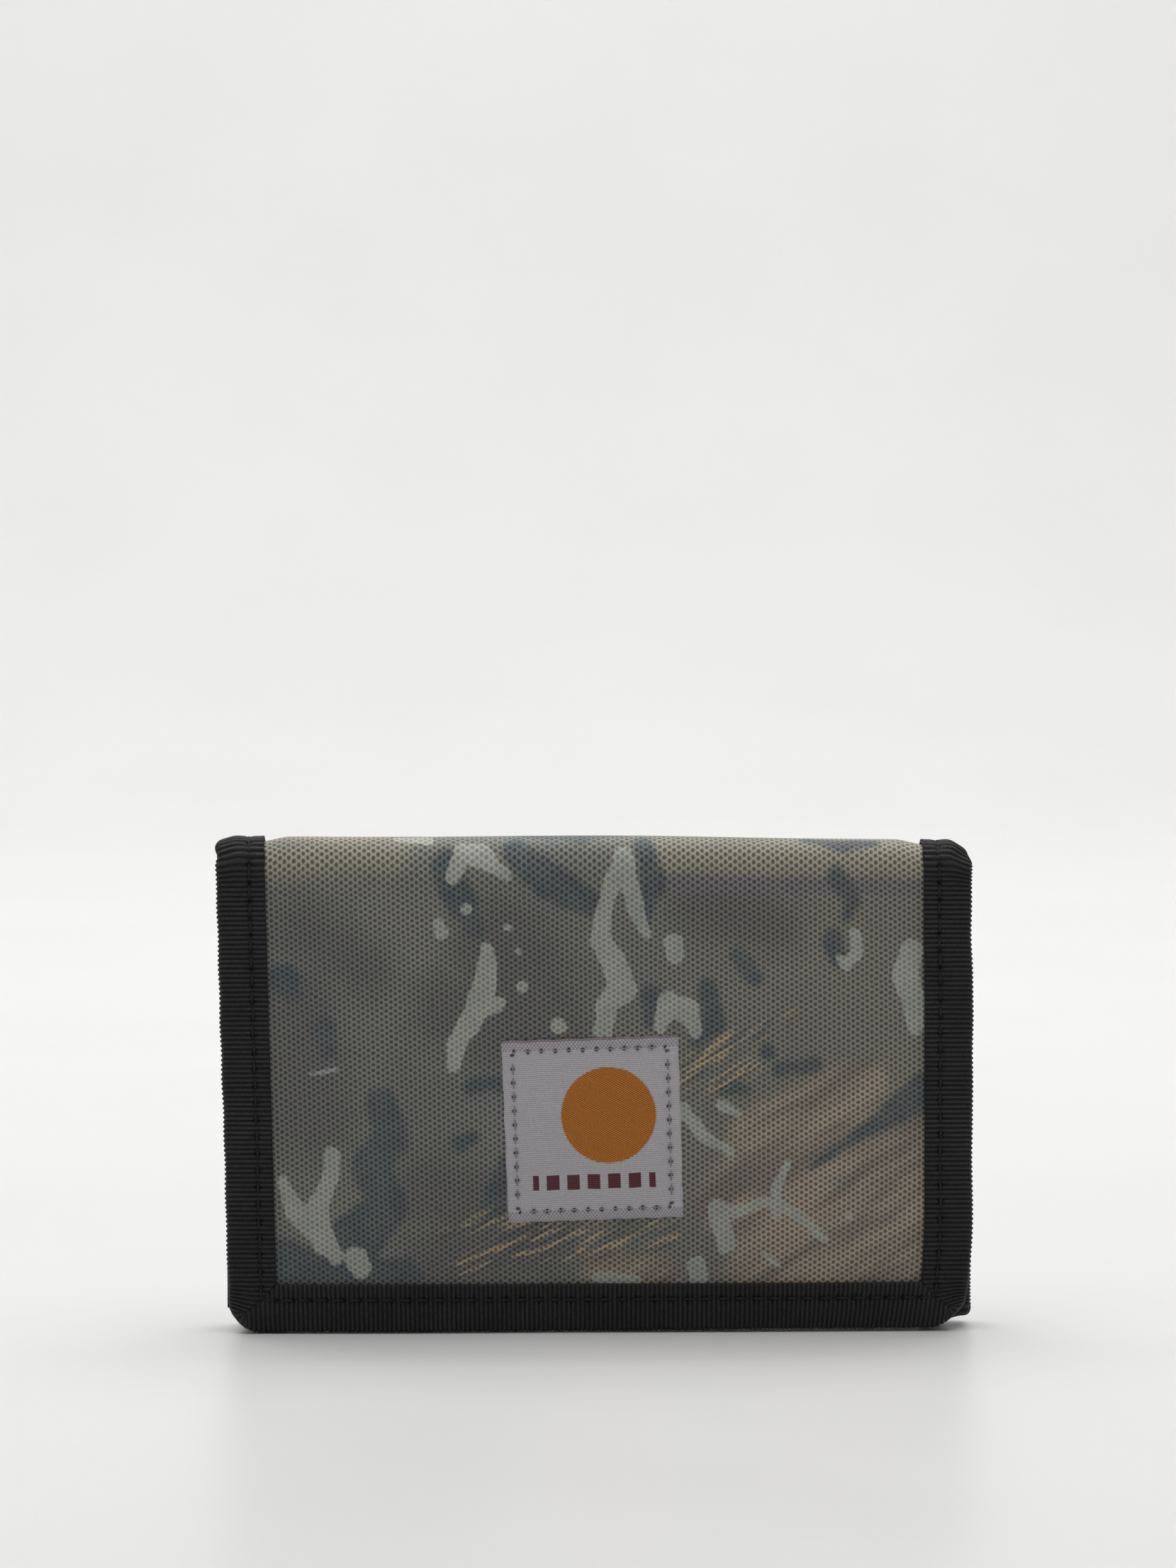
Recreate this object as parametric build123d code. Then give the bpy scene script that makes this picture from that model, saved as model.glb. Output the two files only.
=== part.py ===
"""Trifold wallet of printed woven fabric, edged with folded ribbed tape and closed with hook and loop.

The wallet stands closed on its bottom fold. +X is the width, +Z is up, and the flap faces -Y. The origin is
the middle of the footprint. Three panels fold on one another: the back panel, the flap that comes over the
top and down the front, and the zipped coin panel that folds up from the bottom between the other two.

Depths are counted forwards from the rear face, so depth 0 is the rear face and DEPTH is the front face.
Each stretch of fabric between two creases is a piece of its own, so that the creases can turn.
"""
import os
from build123d import *

# ---- driving dimensions, mm ----
WIDTH = 130.0            # over the edge tape
HEIGHT = 84.6            # from the surface to the top fold
DEPTH = 12.0             # closed and empty
TAPE = 0.5               # thickness of the edge tape
TAPE_FACE = 8.4          # width of the tape that shows on each face
SHELL = 0.6              # outer fabric
LINING = 0.4             # lining fabric
FOLD = 2.4               # thickness of the top and bottom folds over their tape
CREASE_GAP = 0.2         # clearance between two stretches of fabric at a crease
EDGE_GAP = 0.1           # clearance between a fabric edge and the fold of the tape around it
CORNER = 3.0             # radius of the bound corners

# ---- depths of the layers ----
BACK_FACE = 0.0          # rear face of the back panel's tape
BACK_FRONT = 2.5
SLOT_STEP = 0.5          # from one card slot to the next
SLOT_SHEET = 0.35
COIN_REAR = 4.1          # rear face of the coin panel's tape
COIN_FRONT = 7.7
FLAP_REAR = 9.5
FLAP_FRONT = DEPTH

# ---- heights ----
BOTTOM_FOLD_TOP = 2.0
COIN_BOTTOM = 2.3
COIN_TOP = 58.0
FLAP_BOTTOM = 0.2
FLAP_CREASE = 75.6       # where the flap bends just below the top fold
HEAD_GAP = 0.4           # clearance on each side of that bend
BACK_TOP = HEIGHT - FOLD - CREASE_GAP

# ---- pockets ----
SLOT_WIDTH = 98.0
SLOT_COUNT = 3
SLOT_MOUTH_TOP = 70.0    # mouth of the rearmost card slot
SLOT_MOUTH_STEP = 11.0
SLOT_FOOT = 4.0
WINDOW_WIDTH = 86.0      # clear opening of the ticket window
WINDOW_HEIGHT = 35.0
WINDOW_BORDER = 5.0
WINDOW_FOOT = 4.0
WINDOW_SHEET = 0.25

# ---- hook and loop ----
PATCH_WIDTH = 76.0
PATCH_HEIGHT = 18.5
PATCH_FOOT = 9.0
LOOP_THICK = 1.2
HOOK_THICK = 1.4

# ---- zip ----
ZIP_Z = 43.5             # height of the middle of the chain
ZIP_SLOT = 7.0           # opening in the outer fabric
ZIP_HALF = 54.5          # half the length of the chain
CHAIN_SLIT = 0.6         # between the two rows
CHAIN_ROW = 1.9
CHAIN_THICK = 1.0
ZIP_TAPE_WIDTH = 5.6
ZIP_TAPE_THICK = 0.3
STOP_LENGTH = 1.6
STOP_THICK = 0.35
SLIDER_X = -47.5         # middle of the slider with the zip closed
SLIDER_LENGTH = 9.0
SLIDER_HALF = 3.0        # half its height
SLIDER_LIP = 0.5
POST_SPAN = 4.0          # between the two feet of the slider's bridge
POST = 0.9
PULL_LENGTH = 15.0
PULL_WIDTH = 4.6
PULL_NECK = 2.4
PULL_THICK = 0.5
PULL_EYE = 0.95          # radius of the hole around the bridge's foot

# ---- label ----
LABEL_WIDTH = 30.8
LABEL_HEIGHT = 31.4
LABEL_Z = 35.3
LABEL_X = -0.6
LABEL_TURN = 1.7         # degrees, anticlockwise seen from the front
LABEL_THICK = 0.35

HALF = WIDTH / 2
INNER_HALF = HALF - TAPE - EDGE_GAP          # half width of a fabric layer inside the tape
OPEN_HALF = HALF - TAPE_FACE                 # half width between the two tapes


def slab(x0, x1, d0, d1, z0, z1):
    """A box between two widths, two depths and two heights."""
    box = Box(x1 - x0, d1 - d0, z1 - z0, align=(Align.MIN, Align.MIN, Align.MIN))
    return Pos(x0, DEPTH / 2 - d1, z0) * box


def round_corners(solid, radius, at_top):
    """Round the two corners of a panel at its top or its bottom."""
    corners = solid.edges().filter_by(Axis.Y).group_by(Axis.Z)[-1 if at_top else 0]
    return fillet(corners, radius)


def side_tape(side, d0, d1, z0, z1):
    """Edge tape folded round a vertical edge. side is -1 on the left and 1 on the right."""
    x0, x1 = sorted((side * HALF, side * OPEN_HALF))
    body = slab(x0, x1, d0, d1, z0, z1)
    c0, c1 = sorted((side * (HALF - TAPE), side * (OPEN_HALF - 1)))
    body -= slab(c0, c1, d0 + TAPE, d1 - TAPE, z0 - 1, z1 + 1)
    fold = body.edges().filter_by(Axis.Z).group_by(Axis.X)[0 if side < 0 else -1]
    return fillet(fold, TAPE * 0.8)


def fold_tape(side, d0, d1, z0, z1):
    """Edge tape folded round the end of the top or bottom fold, where it runs from back to front."""
    x0, x1 = sorted((side * HALF, side * OPEN_HALF))
    body = slab(x0, x1, d0, d1, z0, z1)
    c0, c1 = sorted((side * (HALF - TAPE), side * (OPEN_HALF - 1)))
    body -= slab(c0, c1, d0 - 1, d1 + 1, z0 + TAPE, z1 - TAPE)
    fold = body.edges().filter_by(Axis.Y).group_by(Axis.X)[0 if side < 0 else -1]
    return fillet(fold, TAPE * 0.8)


def panel_tape(d0, d1, z0, z1, closed_at_top):
    """Edge tape round three sides of a panel, folded over its edge, with round corners."""
    body = round_corners(slab(-HALF, HALF, d0, d1, z0, z1), CORNER, closed_at_top)
    cut_half = HALF - TAPE
    if closed_at_top:
        hollow = slab(-cut_half, cut_half, d0 + TAPE, d1 - TAPE, z0 - 5, z1 - TAPE)
        opening = slab(-OPEN_HALF, OPEN_HALF, d0 - 1, d1 + 1, z0 - 5, z1 - TAPE_FACE)
    else:
        hollow = slab(-cut_half, cut_half, d0 + TAPE, d1 - TAPE, z0 + TAPE, z1 + 5)
        opening = slab(-OPEN_HALF, OPEN_HALF, d0 - 1, d1 + 1, z0 + TAPE_FACE, z1 + 5)
    hollow = round_corners(hollow, CORNER - TAPE, closed_at_top)
    return body - hollow - opening


def panel_sheet(d0, d1, z0, z1, closed_at_top):
    """One fabric layer inside a panel's tape."""
    sheet = slab(-INNER_HALF, INNER_HALF, d0, d1, z0, z1)
    return round_corners(sheet, CORNER - TAPE, closed_at_top)


def back_panel():
    """The back panel and the fold under the wallet: outer fabric, note pocket, card slots and tape."""
    pieces = {}
    shell_rear = BACK_FACE + TAPE
    lining_front = BACK_FRONT - TAPE
    lining_rear = lining_front - LINING
    fold_front = COIN_FRONT - CREASE_GAP
    pieces["bottom_fold_shell"] = slab(-INNER_HALF, INNER_HALF, shell_rear, fold_front, TAPE, TAPE + SHELL)
    pieces["bottom_fold_lining"] = slab(
        -INNER_HALF, INNER_HALF, lining_rear, fold_front, TAPE + SHELL, BOTTOM_FOLD_TOP - TAPE)
    pieces["back_shell"] = slab(
        -INNER_HALF, INNER_HALF, shell_rear, shell_rear + SHELL, TAPE + SHELL, BACK_TOP)
    pieces["note_pocket_lining"] = slab(
        -INNER_HALF, INNER_HALF, lining_rear, lining_front, BOTTOM_FOLD_TOP - TAPE, BACK_TOP)
    for side, name in ((-1, "left"), (1, "right")):
        pieces["back_tape_" + name] = side_tape(side, BACK_FACE, BACK_FRONT, BOTTOM_FOLD_TOP, BACK_TOP)
        way_up = slab(-INNER_HALF, INNER_HALF, shell_rear, lining_front, TAPE, BOTTOM_FOLD_TOP)
        tape = fold_tape(side, BACK_FACE, fold_front, 0, BOTTOM_FOLD_TOP)
        pieces["bottom_fold_tape_" + name] = tape - way_up
    for number in range(SLOT_COUNT):
        rear = lining_front + number * SLOT_STEP
        mouth = SLOT_MOUTH_TOP - number * SLOT_MOUTH_STEP
        pieces["card_slot_%d" % (number + 1)] = slab(
            -SLOT_WIDTH / 2, SLOT_WIDTH / 2, rear, rear + SLOT_SHEET, SLOT_FOOT, mouth)
    return pieces


def top_fold():
    """The strip of fabric across the top, between the back panel and the front."""
    pieces = {}
    rear = BACK_FACE + CREASE_GAP
    front = FLAP_FRONT - CREASE_GAP
    bottom = HEIGHT - FOLD
    shell_top = HEIGHT - TAPE
    pieces["top_fold_shell"] = slab(-INNER_HALF, INNER_HALF, rear, front, shell_top - SHELL, shell_top)
    pieces["top_fold_lining"] = slab(
        -INNER_HALF, INNER_HALF, rear, front, bottom + TAPE, bottom + TAPE + LINING)
    for side, name in ((-1, "left"), (1, "right")):
        pieces["top_fold_tape_" + name] = fold_tape(side, rear, front, bottom, HEIGHT)
    return pieces


def flap_head():
    """The short stretch of the front between the top fold and the bend of the flap."""
    pieces = {}
    z0 = FLAP_CREASE + HEAD_GAP
    shell_front = FLAP_FRONT - TAPE
    pieces["flap_head_shell"] = slab(-INNER_HALF, INNER_HALF, shell_front - SHELL, shell_front, z0, BACK_TOP)
    pieces["flap_head_lining"] = slab(
        -INNER_HALF, INNER_HALF, FLAP_REAR + TAPE, FLAP_REAR + TAPE + LINING, z0, BACK_TOP)
    for side, name in ((-1, "left"), (1, "right")):
        pieces["flap_head_tape_" + name] = side_tape(side, FLAP_REAR, FLAP_FRONT, z0, BACK_TOP)
    return pieces


def flap():
    """The flap: outer fabric, lining, tape, the hook patch inside and the woven label outside."""
    pieces = {}
    top = FLAP_CREASE - HEAD_GAP
    foot = FLAP_BOTTOM + TAPE + EDGE_GAP
    shell_front = FLAP_FRONT - TAPE
    lining_rear = FLAP_REAR + TAPE
    pieces["flap_shell"] = panel_sheet(shell_front - SHELL, shell_front, foot, top, False)
    pieces["flap_lining"] = panel_sheet(lining_rear, lining_rear + LINING, foot, top, False)
    pieces["flap_tape"] = panel_tape(FLAP_REAR, FLAP_FRONT, FLAP_BOTTOM, top, False)
    patch = PATCH_WIDTH / 2
    pieces["hook_patch"] = slab(
        -patch, patch, lining_rear - HOOK_THICK, lining_rear, PATCH_FOOT, PATCH_FOOT + PATCH_HEIGHT)
    label = Box(LABEL_WIDTH, LABEL_THICK, LABEL_HEIGHT)
    label_y = DEPTH / 2 - shell_front - LABEL_THICK / 2
    pieces["woven_label"] = Pos(LABEL_X, label_y, LABEL_Z) * Rot(0, -LABEL_TURN, 0) * label
    return pieces


def coin_panel():
    """The zipped panel: outer fabric above and below the zip, lining, window, loop patch and tape."""
    pieces = {}
    shell_front = COIN_FRONT - TAPE
    shell_rear = shell_front - SHELL
    lining_rear = COIN_REAR + TAPE
    top = COIN_TOP - TAPE - EDGE_GAP
    pieces["coin_shell_upper"] = panel_sheet(shell_rear, shell_front, ZIP_Z + ZIP_SLOT / 2, top, True)
    pieces["coin_shell_lower"] = slab(
        -INNER_HALF, INNER_HALF, shell_rear, shell_front, COIN_BOTTOM, ZIP_Z - ZIP_SLOT / 2)
    pieces["coin_lining"] = panel_sheet(lining_rear, lining_rear + LINING, COIN_BOTTOM, top, True)
    pieces["coin_tape"] = panel_tape(COIN_REAR, COIN_FRONT, COIN_BOTTOM, COIN_TOP, True)
    patch = PATCH_WIDTH / 2
    pieces["loop_patch"] = slab(
        -patch, patch, shell_front, shell_front + LOOP_THICK, PATCH_FOOT, PATCH_FOOT + PATCH_HEIGHT)

    outer_x = WINDOW_WIDTH / 2 + WINDOW_BORDER
    window_top = WINDOW_FOOT + WINDOW_HEIGHT + 2 * WINDOW_BORDER
    film_rear = lining_rear - WINDOW_SHEET
    pieces["window_film"] = slab(-outer_x, outer_x, film_rear, lining_rear, WINDOW_FOOT, window_top)
    border = slab(-outer_x, outer_x, film_rear - WINDOW_SHEET, film_rear, WINDOW_FOOT, window_top)
    view = slab(-WINDOW_WIDTH / 2, WINDOW_WIDTH / 2, 0, DEPTH,
                WINDOW_FOOT + WINDOW_BORDER, window_top - WINDOW_BORDER)
    pieces["window_border"] = border - view

    row_front = shell_rear + CHAIN_THICK
    stop_half = CHAIN_SLIT / 2 + CHAIN_ROW
    for side, name in ((1, "upper"), (-1, "lower")):
        near, far = CHAIN_SLIT / 2, CHAIN_SLIT / 2 + CHAIN_ROW
        z0, z1 = sorted((ZIP_Z + side * near, ZIP_Z + side * far))
        row = slab(-ZIP_HALF, ZIP_HALF, shell_rear, row_front, z0, z1)
        pieces["zip_chain_" + name] = fillet(row.edges().filter_by(Axis.X), CHAIN_THICK * 0.3)
        z0, z1 = sorted((ZIP_Z + side * (near + EDGE_GAP), ZIP_Z + side * (near + ZIP_TAPE_WIDTH)))
        tape_end = OPEN_HALF + TAPE_FACE / 2
        pieces["zip_tape_" + name] = slab(-tape_end, tape_end, shell_rear - ZIP_TAPE_THICK, shell_rear, z0, z1)
    for side, name in ((-1, "left"), (1, "right")):
        x0, x1 = sorted((side * (ZIP_HALF - STOP_LENGTH), side * ZIP_HALF))
        pieces["zip_stop_" + name] = slab(
            x0, x1, row_front, row_front + STOP_THICK, ZIP_Z - stop_half, ZIP_Z + stop_half)
    return pieces


def zip_depths():
    """Depths of the slider's two plates, its bridge and the pull, worked out from the chain's."""
    shell_rear = COIN_FRONT - TAPE - SHELL
    row_front = shell_rear + CHAIN_THICK
    inner_front = shell_rear - ZIP_TAPE_THICK - 0.2
    outer_rear = row_front + 0.2
    outer_front = outer_rear + 0.5
    return shell_rear, inner_front, outer_rear, outer_front


def slider():
    """The zip's slider: two plates joined by a web that runs in the slit, side lips, and a bridge."""
    shell_rear, inner_front, outer_rear, outer_front = zip_depths()
    web_half = CHAIN_SLIT / 2 - 0.1
    plate = SlotOverall(SLIDER_LENGTH, 2 * SLIDER_HALF)
    solids = []
    for front, thick in ((inner_front, 0.6), (outer_front, outer_front - outer_rear)):
        disc = extrude(Plane.XZ * plate, thick)
        solids.append(Pos(SLIDER_X, DEPTH / 2 - front + thick, ZIP_Z) * disc)
    solids.append(slab(SLIDER_X - 1.2, SLIDER_X + 1.2, inner_front - 0.1, outer_rear + 0.1,
                       ZIP_Z - web_half, ZIP_Z + web_half))
    lip_length = SLIDER_LENGTH / 2 - SLIDER_HALF + 0.9
    for side in (-1, 1):
        z0, z1 = sorted((ZIP_Z + side * (SLIDER_HALF - SLIDER_LIP), ZIP_Z + side * SLIDER_HALF))
        solids.append(slab(SLIDER_X - lip_length, SLIDER_X + lip_length,
                           shell_rear + 0.25, outer_front, z0, z1))
    bridge_rear = outer_front + PULL_THICK + 0.2
    for side in (-1, 1):
        middle = SLIDER_X + side * POST_SPAN / 2
        solids.append(slab(middle - POST / 2, middle + POST / 2, outer_front - 0.1, bridge_rear + 0.1,
                           ZIP_Z - POST / 2, ZIP_Z + POST / 2))
    reach = POST_SPAN / 2 + POST / 2
    solids.append(slab(SLIDER_X - reach, SLIDER_X + reach, bridge_rear, bridge_rear + 0.4,
                       ZIP_Z - POST / 2, ZIP_Z + POST / 2))
    body = solids[0]
    for other in solids[1:]:
        body += other
    return {"zip_slider": body}


def pull():
    """The zip pull: a flat tab with an eye around the bridge's right foot, hanging down."""
    outer_front = zip_depths()[3]
    pivot_x = SLIDER_X + POST_SPAN / 2
    neck_end = -5.0
    grip_end = -PULL_LENGTH
    eye = Circle(PULL_EYE + 0.9)
    neck = Pos(0, neck_end / 2) * Rectangle(PULL_NECK, -neck_end)
    grip = Pos(0, (neck_end + grip_end) / 2) * RectangleRounded(PULL_WIDTH, neck_end - grip_end, 1.2)
    slot = Pos(0, grip_end + 3.2) * SlotOverall(3.0, 1.2)
    outline = (eye + neck + grip) - Circle(PULL_EYE) - slot
    tab = extrude(Plane.XZ * outline, PULL_THICK)
    rear = outer_front + 0.1
    return {"zip_pull": Pos(pivot_x, DEPTH / 2 - rear, ZIP_Z) * tab}


def main():
    os.makedirs("parts", exist_ok=True)
    pieces = {}
    for section in (back_panel, top_fold, flap_head, flap, coin_panel, slider, pull):
        pieces.update(section())
    for name, solid in pieces.items():
        export_step(solid, "parts/%s.step" % name)
    print(len(pieces), "pieces")


main()
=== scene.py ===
"""Looks of the trifold wallet.

The fabric is built along two runs through depth and height. The upper run goes up the back panel, over the
top fold and down the front. The coin run goes down the coin panel, under the bottom fold and up the back. A
point on a run has a width x, a length s along the run and an offset from the middle of the layers. Lengths
here are in millimetres until a mesh is made.
"""
import math

import bmesh
import bpy
import numpy as np
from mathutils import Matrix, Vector


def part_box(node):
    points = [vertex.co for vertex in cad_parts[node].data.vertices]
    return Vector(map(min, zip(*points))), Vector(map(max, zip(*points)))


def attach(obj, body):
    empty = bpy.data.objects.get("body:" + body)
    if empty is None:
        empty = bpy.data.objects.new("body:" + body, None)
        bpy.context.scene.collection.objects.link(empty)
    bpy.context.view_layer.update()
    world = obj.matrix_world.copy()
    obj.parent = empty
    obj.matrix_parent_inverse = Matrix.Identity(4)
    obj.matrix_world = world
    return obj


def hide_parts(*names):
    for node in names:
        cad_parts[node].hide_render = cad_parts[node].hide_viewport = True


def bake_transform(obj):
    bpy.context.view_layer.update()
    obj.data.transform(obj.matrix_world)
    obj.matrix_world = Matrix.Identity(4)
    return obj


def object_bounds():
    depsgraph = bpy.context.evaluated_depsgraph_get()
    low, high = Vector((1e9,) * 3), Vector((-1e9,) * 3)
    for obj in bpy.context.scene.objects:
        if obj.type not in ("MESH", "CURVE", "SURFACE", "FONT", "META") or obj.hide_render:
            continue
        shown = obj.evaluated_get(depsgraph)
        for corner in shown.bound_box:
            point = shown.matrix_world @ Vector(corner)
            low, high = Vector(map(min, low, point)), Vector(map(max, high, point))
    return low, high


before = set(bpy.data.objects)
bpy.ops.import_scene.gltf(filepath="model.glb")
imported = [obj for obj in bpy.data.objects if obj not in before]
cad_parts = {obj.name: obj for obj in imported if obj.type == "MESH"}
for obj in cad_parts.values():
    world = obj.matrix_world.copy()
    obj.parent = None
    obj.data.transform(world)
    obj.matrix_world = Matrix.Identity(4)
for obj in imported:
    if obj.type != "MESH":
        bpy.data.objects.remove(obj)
cad_low, cad_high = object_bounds()

MM = 0.001
WIDTH = (cad_high[0] - cad_low[0]) / MM
DEPTH = (cad_high[1] - cad_low[1]) / MM
HEIGHT = (cad_high[2] - cad_low[2]) / MM
HALF = WIDTH / 2
rng = np.random.default_rng(7)


def node_box(name):
    """(left, right, rear depth, front depth, bottom, top) of a CAD node, in millimetres."""
    low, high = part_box(name)
    return (low[0] / MM, high[0] / MM, DEPTH / 2 - high[1] / MM, DEPTH / 2 - low[1] / MM,
            low[2] / MM, high[2] / MM)


# ---- sizes read from the frame ----
_, _, FLAP_REAR, FLAP_FRONT, FLAP_BOTTOM, FLAP_TOP = node_box("flap_tape")
_, _, COIN_REAR, COIN_FRONT, _, COIN_TOP = node_box("coin_tape")
_, _, BACK_REAR, BACK_FRONT, _, _ = node_box("back_tape_left")
FOLD_TOP = node_box("bottom_fold_tape_left")[5]
TOP_FOLD_BOTTOM = node_box("top_fold_tape_left")[4]
TAPE_FACE = HALF - node_box("back_tape_right")[0]
SHELL_THICK = node_box("back_shell")[3] - node_box("back_shell")[2]
FLAP_CREASE = (FLAP_TOP + node_box("flap_head_shell")[4]) / 2
ZIP_LOW = node_box("coin_shell_lower")[5]
ZIP_HIGH = node_box("coin_shell_upper")[4]
TAPE = 0.5               # thickness of the edge tape

# ---- detail sizes ----
RIB = 0.82               # pitch of the tape's ribs
RIB_HEIGHT = 0.13
STITCH_IN = 2.7          # from the tape's inner edge to its seam
STITCH_PITCH = 2.9
STITCH_LENGTH = 2.2
TAPE_CORNER = 3.0        # radius of the tape's outer corners
WEAVE_X = 0.807          # thread pitches of the printed fabric
WEAVE_S = 0.485
ROW_STEP = RIB / 7       # mesh rows along the tape
CLOTH_INSET = 1.6        # from the bound edge to the cloth's own edge, inside the tape
CLOTH_WIDTH = WIDTH - 2 * CLOTH_INSET


# ======================================================================== runs
def smooth(t):
    t = np.clip(t, 0.0, 1.0)
    return t * t * (3 - 2 * t)


class Run:
    """A path of straight stretches and round corners in (depth, height), with a half thickness."""

    def __init__(self, corners, radius, halves):
        corners = [np.array(c, float) for c in corners]
        ways = [(b - a) / np.linalg.norm(b - a) for a, b in zip(corners, corners[1:])]
        points, turns, thick, lengths = [], [], [], []
        self.starts = []
        length = 0.0
        here = corners[0]
        for i, way in enumerate(ways):
            last = i == len(ways) - 1
            end = corners[i + 1] - (0 if last else radius) * way
            self.starts.append((length, here, way))
            span = np.linalg.norm(end - here)
            for t in (0.0, 1.0):
                points.append(here + (end - here) * t)
                turns.append(way)
                thick.append(halves[i])
                lengths.append(length + span * t)
            length += span
            if last:
                break
            after = ways[i + 1]
            middle = corners[i + 1] - way * radius + after * radius
            for t in np.linspace(0, 1, 24)[1:-1]:
                a = t * math.pi / 2
                points.append(middle + radius * (way * math.sin(a) - after * math.cos(a)))
                turns.append(way * math.cos(a) + after * math.sin(a))
                thick.append(halves[i] + (halves[i + 1] - halves[i]) * t)
                lengths.append(length + radius * a)
            length += radius * math.pi / 2
            here = corners[i + 1] + after * radius
        self.bends = [place[0] - radius * math.pi / 2 for place in self.starts[1:]]
        self.points = np.array(points)
        self.turns = np.array(turns)
        self.thick = np.array(thick)
        self.s = np.array(lengths)
        self.bend_radius = radius

    def find(self, stretch, depth, height):
        """The length s at a place on one of the straight stretches."""
        start, here, way = self.starts[stretch]
        return start + float((np.array((depth, height)) - here) @ way)

    def half(self, s):
        return np.interp(s, self.s, self.thick)

    def place(self, x, s, offset):
        """Points in millimetres (x, y, z)."""
        x, s, offset = np.broadcast_arrays(x, s, offset)
        depth = np.interp(s, self.s, self.points[:, 0])
        height = np.interp(s, self.s, self.points[:, 1])
        turn = np.stack([np.interp(s, self.s, self.turns[:, i]) for i in (0, 1)], -1)
        turn /= np.linalg.norm(turn, axis=-1, keepdims=True)
        depth = depth - turn[..., 1] * offset
        height = height + turn[..., 0] * offset
        return np.stack([x, DEPTH / 2 - depth, height], -1)


FLAP_MIDDLE = (FLAP_REAR + FLAP_FRONT) / 2
COIN_MIDDLE = (COIN_REAR + COIN_FRONT) / 2
BACK_MIDDLE = (BACK_REAR + BACK_FRONT) / 2
TOP_MIDDLE = (TOP_FOLD_BOTTOM + HEIGHT) / 2
BACK_JOIN = 45.0         # height on the back panel where the two runs meet
FLAP_HALF = (FLAP_FRONT - FLAP_REAR) / 2
COIN_HALF = (COIN_FRONT - COIN_REAR) / 2
BACK_HALF = (BACK_FRONT - BACK_REAR) / 2
TOP_BEND = 3.4           # radius of the layers' middle where they turn over the top
BOTTOM_BEND = 1.3

upper = Run(
    [(BACK_MIDDLE, BACK_JOIN), (BACK_MIDDLE, TOP_MIDDLE), (FLAP_MIDDLE, TOP_MIDDLE),
     (FLAP_MIDDLE, FLAP_BOTTOM)],
    TOP_BEND, [BACK_HALF, (HEIGHT - TOP_FOLD_BOTTOM) / 2, FLAP_HALF])
coin = Run(
    [(COIN_MIDDLE, COIN_TOP), (COIN_MIDDLE, FOLD_TOP / 2), (BACK_MIDDLE, FOLD_TOP / 2),
     (BACK_MIDDLE, BACK_JOIN)],
    BOTTOM_BEND, [COIN_HALF, FOLD_TOP / 2, BACK_HALF])

# lengths at which the cloth is divided, so that each piece crosses one crease
TOP_SPLIT = 4.7          # depth of the division over the top
HEAD_SPLIT = 77.8        # height of the division above the flap's crease
S_TOP = upper.find(1, TOP_SPLIT, TOP_MIDDLE)
S_HEAD = upper.find(2, FLAP_MIDDLE, HEAD_SPLIT)
S_FLAP_END = upper.find(2, FLAP_MIDDLE, FLAP_BOTTOM)
S_COIN_END = coin.s[-1]


# ======================================================================= drape
def ripple(u, v, seed, size):
    """Gentle waves about `size` mm long, from -1 to 1, the same at every run."""
    waves = np.random.default_rng(seed)
    total = 0.0
    for _ in range(5):
        angle = waves.uniform(0, 2 * math.pi)
        length = size * waves.uniform(0.7, 1.6)
        phase = waves.uniform(0, 2 * math.pi)
        total = total + np.sin((u * math.cos(angle) + v * math.sin(angle)) * 2 * math.pi / length + phase)
    return total / 3.0


# how far the outline departs from a rectangle, in mm
LEFT_LEAN = 2.1
RIGHT_LEAN = 0.55
FLAP_TUCK = 1.9
REAR_TUCK = 1.3
FRONT_CROWN = 1.5
REAR_CROWN = 0.5
RIGHT_DROP = 0.9
TOP_LIFT = 0.95
NOTCH_HEIGHT = 82.2
CORNER_RISE = 1.9


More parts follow.
